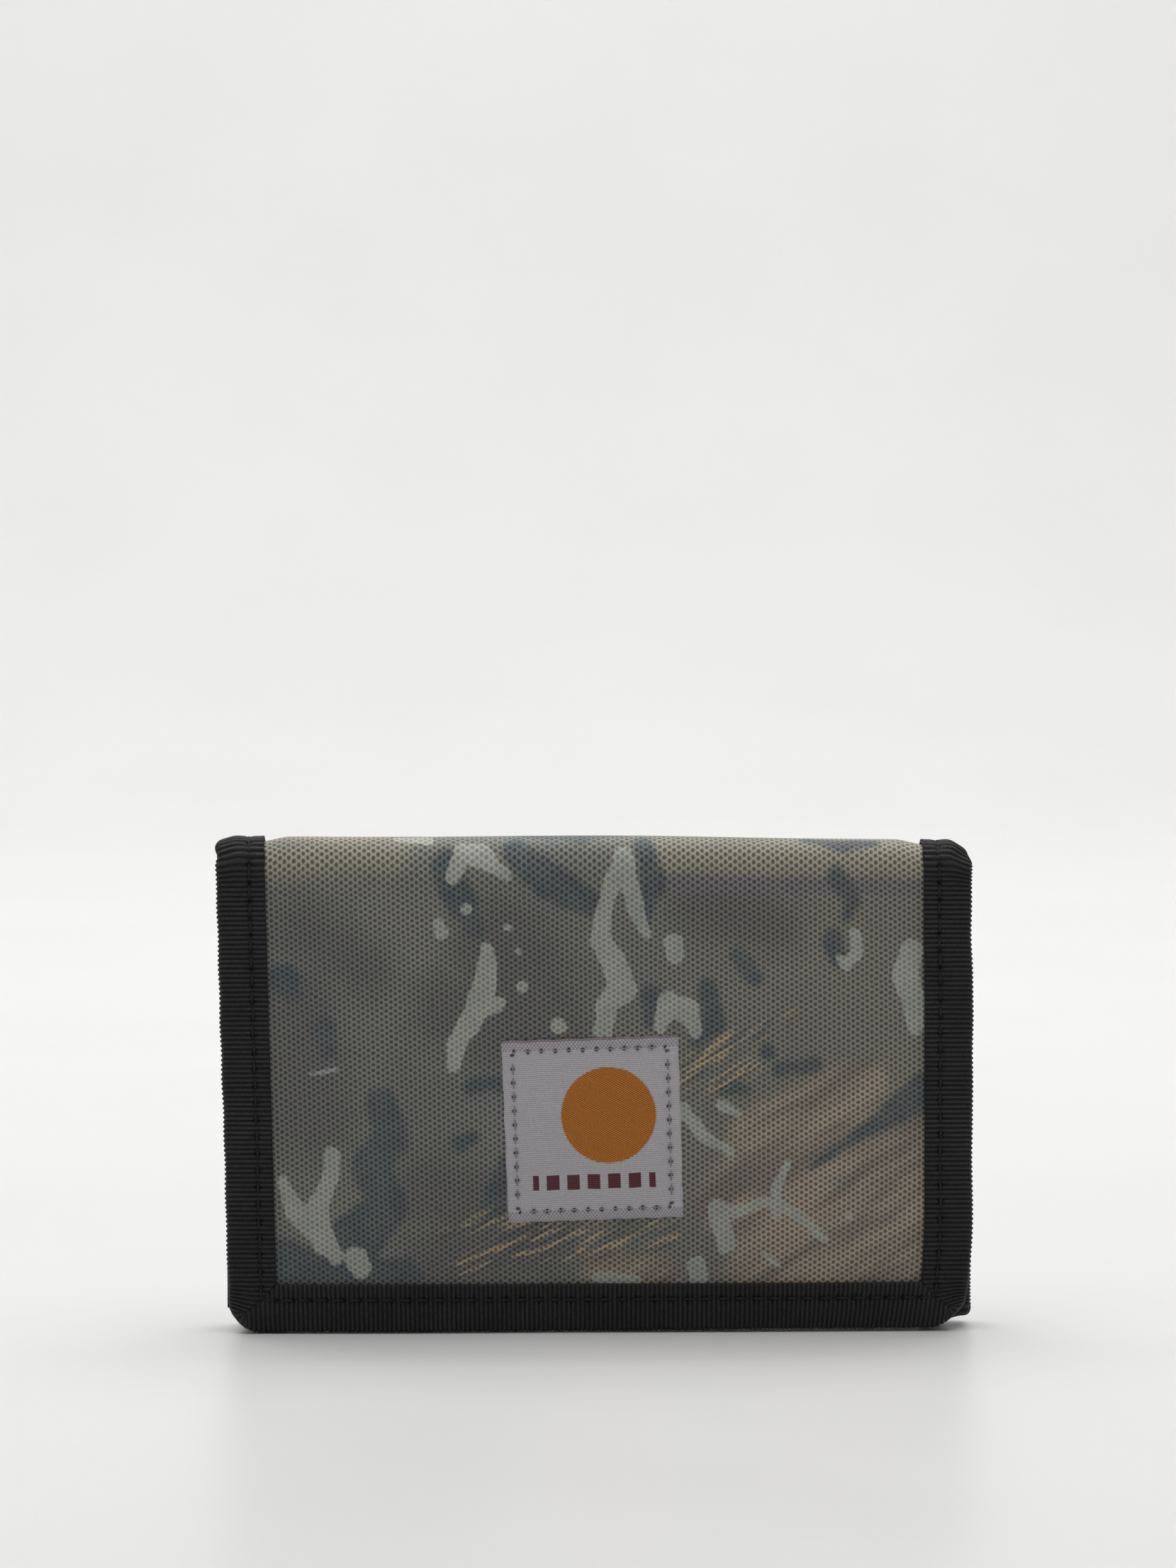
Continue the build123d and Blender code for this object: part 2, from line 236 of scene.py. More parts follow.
def drape(points):
    """How the fabric departs from flat: a swollen front, a leaning left edge and soft uneven edges."""
    x, y, z = points[..., 0].copy(), points[..., 1].copy(), points[..., 2].copy()
    depth = DEPTH / 2 - y
    front = smooth((depth - 8.8) / 0.6)
    rear = 1 - smooth(depth / 4)
    rise = np.clip(z / HEIGHT, 0, 1)
    across = np.clip(np.abs(x) / HALF, 0, 1)
    edge = smooth((across - 0.8) / 0.2)
    foot = (1 - rise) ** 9
    # the left edge leans in towards the bottom, the right edge a little
    x += LEFT_LEAN * (1 - rise) * smooth((20 - x) / 80)
    x += RIGHT_LEAN * (1 - rise) * smooth((x - 10) / 50)
    # the flap's lower right corner is a little inside the layer behind it
    x -= FLAP_TUCK * front * foot * smooth((x - 20) / 40)
    # the front swells between its bound edges, most of all low down
    crown = (1 - across ** 4) * np.sin(math.pi * rise ** 0.6) ** 0.8
    y -= front * (FRONT_CROWN * crown + 0.16 * ripple(x, z, 3, 60) * (1 - 0.5 * edge))
    y += rear * (REAR_CROWN * crown + 0.15 * ripple(x, z, 4, 50))
    # uneven bound edges
    x += 0.10 * edge * ripple(x * 0.1, z, 5, 26) + 0.09 * edge * ripple(x * 0.1, z, 6, 9)
    # top fold: its fabric stands as high as its tape, its right end is low and its outer corners are round
    top = smooth((z - (HEIGHT - 9)) / 9)
    z += top * (0.55 - RIGHT_DROP * smooth((x - 5) / 60))
    z += top * TOP_LIFT * (1 - smooth((across - 0.80) / 0.09))
    z += top * 0.15 * ripple(x, depth * 0.3, 8, 60)
    corner = smooth((across - 0.94) / 0.06)
    z -= top * corner * np.where(x > 0, 1.5, 0.7)
    # a small notch in both bound edges where the top fold is creased
    notch = np.exp(-((z - NOTCH_HEIGHT) / 0.9) ** 2)
    x -= np.sign(x) * np.where(x < 0, 0.45, 0.5) * notch * edge
    # the bottom corners are turned up and round
    low = 1 - smooth(z / 10)
    turned_up = smooth((np.abs(x) - (HALF - 7.0)) / 6.0)
    z += low * turned_up * (CORNER_RISE + 0.3 * front)
    z += low * front * (0.25 * smooth(x / 60) + 0.10 * ripple(x, z * 0, 9, 34))
    # the layers behind the flap are narrower at the lower left
    x += REAR_TUCK * (1 - front) * foot * smooth((-x - 20) / 40)
    return np.stack([x, y, np.maximum(z, 0.02)], -1)


# ====================================================================== meshes
def add_mesh(name, points, faces, materials, attributes=None, slots=None):
    """A mesh object from points in mm and an array of quads, each with its material slot."""
    mesh = bpy.data.meshes.new(name)
    points = np.asarray(points, float).reshape(-1, 3) * MM
    faces = np.asarray(faces, np.int32)
    mesh.vertices.add(len(points))
    mesh.vertices.foreach_set("co", points.ravel())
    mesh.loops.add(faces.size)
    mesh.loops.foreach_set("vertex_index", faces.ravel())
    mesh.polygons.add(len(faces))
    mesh.polygons.foreach_set("loop_start", np.arange(0, faces.size, 4, dtype=np.int32))
    mesh.polygons.foreach_set("loop_total", np.full(len(faces), 4, np.int32))
    for material in materials:
        mesh.materials.append(material)
    if slots is not None:
        mesh.polygons.foreach_set("material_index", np.asarray(slots, np.int32))
    mesh.polygons.foreach_set("use_smooth", np.ones(len(faces), bool))
    for key, values in (attributes or {}).items():
        layer = mesh.attributes.new(key, "FLOAT_VECTOR", "POINT")
        layer.data.foreach_set("vector", np.asarray(values, np.float32).ravel())
    mesh.update()
    clean = bmesh.new()
    clean.from_mesh(mesh)
    bmesh.ops.remove_doubles(clean, verts=clean.verts, dist=1e-6)
    bmesh.ops.recalc_face_normals(clean, faces=clean.faces)
    clean.to_mesh(mesh)
    clean.free()
    obj = bpy.data.objects.new(name, mesh)
    bpy.context.scene.collection.objects.link(obj)
    return obj


def grid_faces(rows, columns):
    """Quads of a grid of points stored row by row."""
    index = np.arange(rows * columns).reshape(rows, columns)
    a, b, c, d = index[:-1, :-1], index[:-1, 1:], index[1:, 1:], index[1:, :-1]
    return np.stack([a, b, c, d], -1).reshape(-1, 4)


def tube_faces(count, rings, sides):
    """Quads of a number of tubes, each of so many rings, open at their ends."""
    base = np.arange(rings * sides).reshape(rings, sides)
    beside = np.roll(base, -1, axis=1)
    quads = np.stack([base[:-1], beside[:-1], beside[1:], base[1:]], -1).reshape(-1, 4)
    return (quads[None] + (np.arange(count) * rings * sides)[:, None, None]).reshape(-1, 4)


class Pile:
    """Collects parts of one mesh: points, quads, cloth coordinates and material slots."""

    def __init__(self):
        self.points, self.cloth, self.faces, self.slots, self.count = [], [], [], [], 0

    def grid(self, points, cloth, slot=0):
        rows, columns = points.shape[:2]
        self.add(points.reshape(-1, 3), cloth.reshape(-1, 3), grid_faces(rows, columns), slot)

    def add(self, points, cloth, faces, slot=0):
        self.points.append(points)
        self.cloth.append(cloth)
        self.faces.append(faces + self.count)
        self.slots.append(np.full(len(faces), slot))
        self.count += len(points)

    def build(self, name, materials, extra=None):
        points = np.concatenate(self.points)
        attributes = {"cloth": np.concatenate(self.cloth)}
        if extra:
            attributes.update(extra(attributes["cloth"]))
        return add_mesh(name, points, np.concatenate(self.faces), materials, attributes,
                        slots=np.concatenate(self.slots))


def thread(pile, starts, ends, normals, width, slot):
    """Short flattened stitches from starts to ends, bowed a little off the surface."""
    rings, sides = 7, 8
    t = np.linspace(0, 1, rings)
    around = np.linspace(0, 2 * math.pi, sides, endpoint=False)
    way = ends - starts
    side = np.cross(way, normals)
    side /= np.linalg.norm(side, axis=1, keepdims=True)
    swell = np.sin(math.pi * np.clip(t * 0.94 + 0.03, 0, 1)) ** 0.45
    rise = np.sin(math.pi * t) * width * 0.35
    core = starts[:, None] + way[:, None] * t[None, :, None] + normals[:, None] * rise[None, :, None]
    ring = (side[:, None, None] * np.cos(around)[None, None, :, None]
            + normals[:, None, None] * np.sin(around)[None, None, :, None] * 0.75)
    points = core[:, :, None] + ring * (swell * width / 2)[None, :, None, None]
    cloth = np.zeros((len(starts), rings, sides, 3))
    cloth[..., 0] = t[None, :, None] * np.linalg.norm(way, axis=1)[:, None, None]
    cloth[..., 1] = around[None, None, :] * width / 2
    pile.add(points.reshape(-1, 3), cloth.reshape(-1, 3), tube_faces(len(starts), rings, sides), slot)


def seam_points(run, xs, ss, offset):
    """Points and outward normals of a seam on a run."""
    points = drape(run.place(xs, ss, offset))
    above = drape(run.place(xs, ss, offset + np.sign(offset) * 0.2))
    normals = above - points
    return points, normals / np.linalg.norm(normals, axis=1, keepdims=True)


def sew(pile, run, route, levels):
    """Black stitches along a route, a list of (x, s) corners on a run, at evenly spaced levels."""
    route = np.array(route, float)
    spans = np.linalg.norm(np.diff(route, axis=0), axis=1)
    total = spans.sum()
    count = max(1, int(total / STITCH_PITCH))
    middles = (np.arange(count) + 0.5) * total / count
    reached = np.concatenate([[0], np.cumsum(spans)])
    wobble = rng.normal(0, 0.05, count)
    level = np.interp(middles, np.linspace(0, total, levels.size), levels)

    def at(distance):
        return (np.interp(distance, reached, route[:, 0]) + wobble,
                np.interp(distance, reached, route[:, 1]))

    starts, normals = seam_points(run, *at(middles - STITCH_LENGTH / 2), level)
    ends, _ = seam_points(run, *at(middles + STITCH_LENGTH / 2), level)
    thread(pile, starts, ends, normals, 0.42, 1)


# ================================================================== edge tape
def tape_section():
    """The folded tape across its width, from its outer face round the bound edge to its inner face.

    Returns, for each point, the distance in from the bound edge, the offset from the middle as a share of
    the half thickness, how much the face turns towards the edge, and whether the point is tucked under."""
    face = np.concatenate([[TAPE_FACE - 0.12], np.linspace(TAPE_FACE - 0.5, 1.0, 13)])
    seam = TAPE_FACE - STITCH_IN
    face = np.sort(np.concatenate([face, [seam, seam - 0.45, seam + 0.45]]))[::-1]
    turn = np.linspace(0, math.pi, 11)[1:-1]
    c = np.concatenate([[TAPE_FACE], face, 0.9 - 0.9 * np.sin(turn), face[::-1], [TAPE_FACE]])
    unit = np.concatenate([[1], np.ones(len(face)), np.cos(turn), -np.ones(len(face)), [-1]])
    to_edge = np.concatenate([[0], np.zeros(len(face)), np.sin(turn), np.zeros(len(face)), [0]])
    tucked = np.zeros(len(c))
    tucked[[0, -1]] = 1
    return c, unit, to_edge, tucked


SECTION = tape_section()


def tape_strip(pile, run, x, s, along, out_x, out_s, ribs=1.0, step=0.0):
    """One strip of tape. x and s are rows by section points, along counts the ribs, and (out_x, out_s) points
    from the fabric to the bound edge."""
    c, unit, to_edge, tucked = SECTION
    seam = TAPE_FACE - STITCH_IN
    flat = np.abs(unit) > 0.999
    hole = np.abs((along / STITCH_PITCH) % 1 - 0.5) * STITCH_PITCH
    groove = (0.14 + 0.34 * np.exp(-(hole / 0.42) ** 2)) * np.exp(-((c - seam) / 0.5) ** 2) * flat
    pillow = 0.15 * np.sin(math.pi * np.clip(c / seam, 0, 1)) * flat
    pillow = pillow + 0.06 * np.sin(math.pi * np.clip((c - seam) / (TAPE_FACE - seam), 0, 1)) * flat
    rib = RIB_HEIGHT * np.cos(2 * math.pi * along / RIB + 0.5 * ripple(along, c * 2, 11, 9)) * ribs
    lift = np.where(tucked > 0, -TAPE, rib + pillow - groove + step * flat)
    facing = np.where(flat, np.sign(unit), unit)
    offset = (run.half(s) * unit + lift * facing) * np.where(unit < 0, room_inside(run, s), 1.0)
    points = drape(run.place(x + out_x * to_edge * rib, s + out_s * to_edge * rib, offset))
    pierced = np.exp(-((c - seam) / 0.42) ** 2) * (0.35 + 0.65 * np.exp(-(hole / 0.5) ** 2)) * flat
    pile.grid(points, np.stack(np.broadcast_arrays(along, c, pierced), -1))


def room_inside(run, s):
    """The share of the half thickness that fits on the inside of the run's bends."""
    level = np.ones_like(s)
    for start in run.bends:
        reach = run.bend_radius * math.pi / 4
        middle = start + reach
        room = min(1.0, run.bend_radius * 0.8 / float(run.half(middle)))
        level = np.minimum(level, 1 - (1 - room) * (1 - smooth((np.abs(s - middle) - reach) / 1.5)))
    return level


def rows_between(a, b):
    return np.linspace(a, b, max(2, int(round(abs(b - a) / ROW_STEP)) + 1))


def side_levels(run, s0, s1):
    """Height of the tape's face along a stretch of a run."""
    return run.half(np.linspace(s0, s1, 60)) - 0.05


def straight_tape(pile, run, side, s0, s1):
    """Tape along one side of the fabric between two lengths of a run, with its seam."""
    c = SECTION[0]
    rows = rows_between(s0, s1)
    s = np.repeat(rows[:, None], len(c), 1)
    x = side * (HALF - np.repeat(c[None], len(rows), 0))
    tape_strip(pile, run, x, s, s, side, 0)
    x_seam = side * (HALF - TAPE_FACE + STITCH_IN)
    for face in (1, -1):
        sew(pile, run, [(x_seam, s0), (x_seam, s1)], face * side_levels(run, s0, s1))


def turned_tape(pile, run, s0, s_end):
    """Tape down one side, across the free edge at s_end and up the other side, with folded corners."""
    c = SECTION[0]
    way = 1 if s_end > s0 else -1
    reach = np.maximum(c, TAPE_CORNER)
    near = TAPE_FACE + 1.0
    fold = np.linspace(0, 1, int(round((near - TAPE_CORNER) / ROW_STEP)))[:, None]
    angles = np.linspace(0, math.pi / 2, 12)[:, None]
    arc = np.maximum(TAPE_CORNER - c, 0)[None]
    for side in (-1, 1):
        rows = rows_between(s0, s_end - way * near)
        s_main = np.repeat(rows[:, None], len(c), 1)
        s_fold = (s_end - way * near) + fold * way * (near - reach)[None]
        s = np.concatenate([s_main, s_fold[1:]])
        x = side * (HALF - np.repeat(c[None], len(s), 0))
        tape_strip(pile, run, x, s, s, side, 0)
        x = side * ((HALF - reach)[None] + arc * np.cos(angles))
        s = s_end - way * reach[None] + way * arc * np.sin(angles)
        along = s_end - way * TAPE_CORNER * (1 - 0.6 * angles) + 0 * s
        tape_strip(pile, run, x, s, along, side * np.cos(angles), way * np.sin(angles), 0.3)
    x_fold = (HALF - reach)[None] - fold * (near - reach)[None]
    x_main = np.repeat(rows_between(-(HALF - near), HALF - near)[:, None], len(c), 1)
    x = np.concatenate([-x_fold, x_main[1:-1], x_fold[::-1]])
    s = np.repeat((s_end - way * c)[None], len(x), 0)
    # the crosswise tape lies over the ends of the side tapes
    step = 0.25 * (1 - smooth((HALF - np.abs(x) - c - 0.3) / 3.0)) * (np.abs(x) > HALF - near - 1)
    tape_strip(pile, run, x, s, x, 0, way, step=step)
    x_seam = HALF - TAPE_FACE + STITCH_IN
    s_seam = s_end - way * (TAPE_FACE - STITCH_IN)
    for face in (1, -1):
        for side in (-1, 1):
            route = [(side * x_seam, s0), (side * x_seam, s_seam)]
            sew(pile, run, route, face * side_levels(run, s0, s_seam))
        sew(pile, run, [(-x_seam, s_seam), (x_seam, s_seam)], face * side_levels(run, s_seam, s_seam))


# ======================================================================= print and painted highlight
# Marks of the camouflage print and a painted highlight, as strokes of (x, z, radius) in mm on the flat fabric,
# z counted up the flap.
PALE_MARKS = [
    [(-24.5, 78.4, 1.2), (-22.6, 81.6, 1.6), (-19.3, 81.2, 1.7), (-15.2, 78.6, 0.8)],
    [(-22.2, 73.0, 1.1)], [(-26.8, 70.2, 1.0), (-26.6, 68.6, 1.2)], [(-15.0, 69.6, 0.7)],
    [(-18.6, 65.6, 1.2), (-18.9, 59.6, 2.1), (-21.0, 54.0, 2.1), (-24.2, 48.8, 1.6), (-24.6, 45.4, 1.3)],
    [(-16.8, 56.0, 1.3), (-20.4, 54.6, 1.8)],
    [(-12.6, 58.8, 1.1)], [(-13.2, 65.2, 0.7)], [(-6.2, 52.0, 1.4)],
    [(5.0, 80.8, 1.6), (2.6, 76.8, 1.4), (1.4, 71.6, 1.4), (0.8, 67.4, 1.7), (3.2, 63.4, 2.2),
     (4.8, 58.4, 2.5), (2.0, 55.6, 1.8), (1.3, 50.6, 1.6)],
    [(5.6, 79.6, 1.6), (7.2, 72.6, 1.4), (8.8, 68.4, 0.9)],
    [(13.6, 66.8, 1.6), (13.8, 64.4, 1.6)],
    [(11.2, 51.6, 1.1), (12.8, 55.8, 2.1), (16.0, 54.8, 1.9), (17.4, 51.0, 1.2)],
    [(44.6, 68.4, 0.9), (45.2, 65.0, 1.1), (43.2, 62.4, 1.0), (42.0, 64.0, 0.7)],
    [(54.6, 65.4, 2.0), (53.4, 60.6, 2.3), (54.8, 55.8, 1.9), (55.0, 51.4, 1.3)],
    [(-46.4, 30.0, 1.4), (-46.8, 25.4, 1.4), (-49.4, 20.6, 1.9), (-48.2, 15.4, 2.1), (-46.0, 12.8, 1.3)],
    [(-55.0, 25.6, 0.9), (-53.0, 20.2, 1.8), (-49.8, 17.6, 2.1)],
    [(-42.6, 12.6, 2.0), (-41.8, 11.2, 1.9)],
    [(15.2, 37.6, 1.3), (18.6, 33.0, 1.0), (23.2, 30.4, 0.8)], [(21.8, 38.2, 1.0), (24.6, 37.0, 0.7)],
    [(21.2, 20.4, 1.8), (22.6, 14.8, 1.7)],
    [(24.0, 20.0, 1.1), (29.6, 21.8, 0.9), (34.6, 19.8, 0.9), (39.6, 15.6, 0.7)],
    [(33.0, 28.2, 0.7), (31.0, 23.6, 0.9), (31.4, 19.4, 0.8)],
    [(17.6, 11.2, 1.6), (18.2, 7.0, 1.5)], [(29.2, 13.0, 0.4), (31.8, 11.2, 0.5)], [(43.8, 19.2, 0.6)],
    [(-33.6, 84.4, 0.9), (-28.6, 84.0, 1.1)], [(-49.8, 43.8, 0.25), (-45.0, 44.6, 0.3)],
    [(0.0, 9.4, 0.9), (7.2, 8.8, 1.0)],
]
SLATE_MARKS = [
    [(-53.8, 60.4, 2.6), (-52.6, 57.6, 1.6)], [(-47.4, 51.4, 2.2), (-46.8, 48.0, 1.4)],
    [(-37.6, 39.0, 2.4), (-35.8, 33.0, 3.0), (-39.8, 28.0, 3.2), (-36.6, 21.4, 3.4), (-43.0, 15.0, 4.6)],
    [(-57.0, 11.0, 5.0), (-46.0, 8.0, 5.0), (-34.0, 10.0, 2.6)],
    [(-25.4, 79.6, 2.6), (-22.6, 73.6, 2.6), (-20.8, 69.6, 1.6)],
    [(-13.6, 81.8, 2.0), (-7.6, 77.4, 2.8), (0.2, 73.2, 2.4)],
    [(8.6, 82.8, 1.6), (10.2, 77.4, 2.0), (8.4, 71.0, 1.2)],
    [(41.6, 78.6, 1.6), (44.2, 74.8, 1.7), (43.2, 71.0, 0.8)], [(41.0, 67.4, 1.8), (42.0, 63.6, 1.6)],
    [(24.6, 64.4, 1.4), (27.4, 60.2, 1.5)], [(19.4, 58.4, 1.7), (20.6, 52.4, 2.0), (17.6, 49.0, 1.4)],
    [(9.4, 57.6, 1.8), (9.8, 53.0, 1.4)], [(-22.0, 41.6, 1.2), (-13.8, 42.6, 1.5), (-9.8, 47.8, 1.8)],
    [(-23.8, 31.6, 1.5), (-21.6, 33.0, 1.1)], [(29.6, 47.4, 1.2)], [(31.8, 44.2, 1.3), (37.6, 45.2, 1.3)],
    [(22.6, 41.6, 1.5), (25.8, 41.0, 1.0)], [(-16.2, 28.4, 1.2), (-18.4, 20.0, 2.2)],
    [(36.6, 84.6, 1.0), (42.6, 83.2, 1.3), (48.2, 83.8, 0.8)],
    [(6.0, 20.0, 1.6), (12.6, 21.0, 1.8)], [(37.0, 27.4, 0.2), (46.0, 33.6, 1.2), (57.0, 40.5, 3.2)],
]
EARTH_MARKS = [
    [(46.0, 41.4, 3.8), (36.4, 37.2, 4.4), (27.2, 32.6, 3.6)],
    [(56.0, 34.0, 4.0), (47.6, 26.6, 5.0), (54.0, 20.0, 5.0)],
    [(25.6, 26.2, 3.6), (38.4, 20.8, 5.4), (31.2, 12.0, 5.2)], [(48.2, 11.8, 5.0), (56.0, 12.0, 5.0)],
    [(0.0, 12.0, 2.6), (12.0, 9.0, 2.4)], [(22.0, 22.0, 4.0), (34.0, 26.0, 6.0), (44.0, 36.0, 5.0)],
    [(30.0, 16.0, 6.0), (48.0, 18.0, 7.0), (56.0, 26.0, 4.0)], [(28.0, 10.0, 5.0), (56.0, 10.0, 5.0)],
]
SHADE_MARKS = [
    [(-16.0, 66.0, 8.0), (-8.0, 50.0, 7.0), (-26.0, 55.0, 5.0)], [(30.0, 70.0, 4.0), (18.0, 74.0, 4.0)],
    [(-30.0, 24.0, 5.0), (-12.0, 17.0, 6.0), (-28.0, 12.0, 5.0)], [(-50.0, 70.0, 4.0), (-40.0, 62.0, 4.0)],
    [(-51.0, 56.0, 5.0), (-50.0, 36.0, 6.0)],
]
GRASS_MARKS = [
    [(14.0, 43.6, 2.2), (22.0, 47.4, 2.6), (35.0, 54.6, 0.4)], [(17.0, 41.6, 1.6), (27.0, 44.6, 1.8)],
    [(-27.4, 16.2, 0.5), (-18.0, 19.6, 1.4), (-8.0, 20.4, 1.6)],
    [(-27.0, 9.4, 0.8), (-12.0, 15.8, 3.4), (2.0, 15.4, 3.6), (12.0, 17.0, 2.6)],
]
BAND_MARKS = [[(10.0, 77.4, 1.1), (60.0, 76.6, 1.2)]]
# painted highlight: a paler band along the top of the flap, where it leans back into the overhead light
TOP_HIGHLIGHT_MARKS = [
    [(12.0, 81.6, 2.6), (30.0, 81.2, 2.8), (58.0, 81.4, 3.0)], [(-58.0, 80.0, 2.0), (-34.0, 82.0, 2.0)],
]
REPEAT = 80.0            # the print repeats along the fabric
REPEAT_SHIFT = 43.0      # and each repeat is shifted sideways
FAR = 14.0               # no distance to a mark is counted past this


def distance_to(strokes, x, z):
    """Distance in mm from the nearest stroke's outline, negative inside, for arrays of places."""
    nearest = np.full(x.shape, FAR)
    for stroke in strokes:
        pairs = list(zip(stroke, stroke[1:])) or [(stroke[0], stroke[0])]
        for (x0, z0, r0), (x1, z1, r1) in pairs:
            wx, wz = x1 - x0, z1 - z0
            t = np.clip(((x - x0) * wx + (z - z0) * wz) / max(wx * wx + wz * wz, 1e-9), 0, 1)
            away = np.hypot(x - x0 - t * wx, z - z0 - t * wz) - (r0 + (r1 - r0) * t)
            nearest = np.minimum(nearest, away)
    return nearest


def print_and_highlight_fields(cloth):
    """Distances to the print's marks and to the painted highlight at each point of the cloth, repeated along
    the fabric.
    """
    x, z = cloth[:, 0].astype(float), cloth[:, 1].astype(float)
    # the print is drawn out a little across the flap's middle
    z = z - 1.1 * smooth(z / 30) * (1 - smooth((z - 58) / 22))
    fields = []
    for marks in (PALE_MARKS, SLATE_MARKS, EARTH_MARKS, GRASS_MARKS, BAND_MARKS, SHADE_MARKS, TOP_HIGHLIGHT_MARKS):
        field = np.full(x.shape, FAR)
        for k in range(-1, 3):
            shift = (k * REPEAT_SHIFT + HALF) % WIDTH - HALF
            for wrap in (0, -WIDTH, WIDTH):
                if k == 0 and wrap:
                    continue
                field = np.minimum(field, distance_to(marks, x - shift - wrap, z - k * REPEAT))
        fields.append(field)
    pale, slate, earth, grass, band, shade, light = fields
    return {"print_a": np.stack([pale, slate, earth], -1), "print_b": np.stack([grass, band, shade], -1),
            "top_highlight": np.stack([light, light * 0, light * 0], -1)}


def unrolled(run, s):
    """Height on the flat fabric, counted from the flap's lower edge over the top and down the back."""
    flat = FLAP_BOTTOM + S_FLAP_END - s
    return flat if run is upper else flat + S_COIN_END


# =================================================================== materials
class Signal:
    """A value in a material's node graph. Arithmetic on it adds Math nodes."""

    def __init__(self, graph, socket):
        self.graph = graph
        self.socket = socket

    def __add__(self, other):
        return self.graph.math("ADD", self, other)

    def __sub__(self, other):
        return self.graph.math("SUBTRACT", self, other)

    def __rsub__(self, other):
        return self.graph.math("SUBTRACT", other, self)

    def __mul__(self, other):
        return self.graph.math("MULTIPLY", self, other)

    def __truediv__(self, other):
        return self.graph.math("DIVIDE", self, other)


class Graph:
    """A node material with one Principled shader."""

    def __init__(self, name, **settings):
        self.material = bpy.data.materials.new(name)
        self.material.use_nodes = True
        self.nodes = self.material.node_tree.nodes
        self.links = self.material.node_tree.links
        self.shader = self.nodes["Principled BSDF"]
        for key, value in settings.items():
            self.shader.inputs[key.replace("_", " ")].default_value = value

    def put(self, socket, value):
        """Gives a socket a signal, a colour or a number."""
        if isinstance(value, Signal):
            self.links.new(value.socket, socket)
        elif isinstance(value, tuple):
            socket.default_value = (*value, 1.0)
        else:
            socket.default_value = value

    def node(self, kind, inputs=(), output=0, **settings):
        """A new node with its first inputs filled, as the signal of one output."""
        node = self.nodes.new("ShaderNode" + kind)
        for key, value in settings.items():
            setattr(node, key, value)
        for socket, value in zip(node.inputs, inputs):
            self.put(socket, value)
        return Signal(self, node.outputs[output])

    def math(self, operation, *values):
        return self.node("Math", values, operation=operation)

    def blend(self, share, a, b, mode="MIX"):
        """From colour a to colour b."""
        node = self.nodes.new("ShaderNodeMix")
        node.data_type = "RGBA"
        node.blend_type = mode
        for index, value in ((0, share), (6, a), (7, b)):
            self.put(node.inputs[index], value)
        return Signal(self, node.outputs[2])

    def span(self, value, low, high, to_low=0.0, to_high=1.0):
        """A smooth step of value from low to high."""
        return self.node("MapRange", (value, low, high, to_low, to_high), interpolation_type="SMOOTHSTEP")

    def noise(self, vector, scale, detail=2.0, roughness=0.5, distortion=0.0):
        node = self.nodes.new("ShaderNodeTexNoise")
        settings = {"Vector": vector, "Scale": scale, "Detail": detail, "Roughness": roughness,
                    "Distortion": distortion}
        for key, value in settings.items():
            self.put(node.inputs[key], value)
        return Signal(self, node.outputs["Fac"])

    def place(self):
        """The object's own coordinates."""
        return self.node("TexCoord", output="Object")

    def attribute(self, name):
        return self.node("Attribute", output="Vector", attribute_name=name)

    def split(self, vector):
        """The three numbers of a vector."""
        node = self.nodes.new("ShaderNodeSeparateXYZ")
        self.put(node.inputs[0], vector)
        return [Signal(self, output) for output in node.outputs]

    def join(self, x, y, z=0.0):
        return self.node("CombineXYZ", (x, y, z))

    def grey(self, value):
        return self.join(value, value, value)

    def turned(self, x, y, degrees, along=1.0, across=1.0):
        """Coordinates turned by an angle and scaled along and across it."""
        c, s = math.cos(math.radians(degrees)), math.sin(math.radians(degrees))
        return self.join(x * (c * along) + y * (s * along), x * (-s * across) + y * (c * across))

    def wave(self, value, pitch):
        """Cosine of a length with the given pitch, from -1 to 1."""
        return self.math("COSINE", value * (2 * math.pi / pitch))

    def bump(self, height, depth_mm, strength=1.0):
        node = self.nodes.new("ShaderNodeBump")
        node.inputs["Strength"].default_value = strength
        node.inputs["Distance"].default_value = depth_mm * MM
        self.put(node.inputs["Height"], height)
        self.links.new(node.outputs[0], self.shader.inputs["Normal"])

    def colour(self, value, tone=None):
        """Sets the base colour, darkened by a grey tone if there is one."""
        if tone is not None:
            value = self.blend(1.0, value, self.grey(tone), "MULTIPLY")
        self.put(self.shader.inputs["Base Color"], value)

    def rough(self, value):
        self.put(self.shader.inputs["Roughness"], value)


def plain_weave(g, x, s, pitch_x, pitch_s):
    """1 where one set of threads is on top and -1 where the other is."""
    wobble = (g.noise(g.join(x, s), 0.35, 1.0) - 0.5) * 0.5
    return g.wave(x + wobble, 2 * pitch_x) * g.wave(s + wobble, 2 * pitch_s)


def honeycomb(g, x, s, pitch_x, pitch_s):
    """Distance in mm from the nearest dot of an offset lattice, where a thread dips under its neighbours."""
    wobble = (g.noise(g.join(x, s), 0.5, 1.0) - 0.5) * 0.35

    def square(place, pitch, shift):
        away = (g.math("FRACT", (place + wobble) / (2 * pitch) + shift) - 0.5) * (2 * pitch)
        return away * away

    lattices = [square(x, pitch_x, shift) + square(s, pitch_s, shift) * 1.15 for shift in (0.0, 0.5)]
    return g.math("SQRT", g.math("MINIMUM", *lattices))


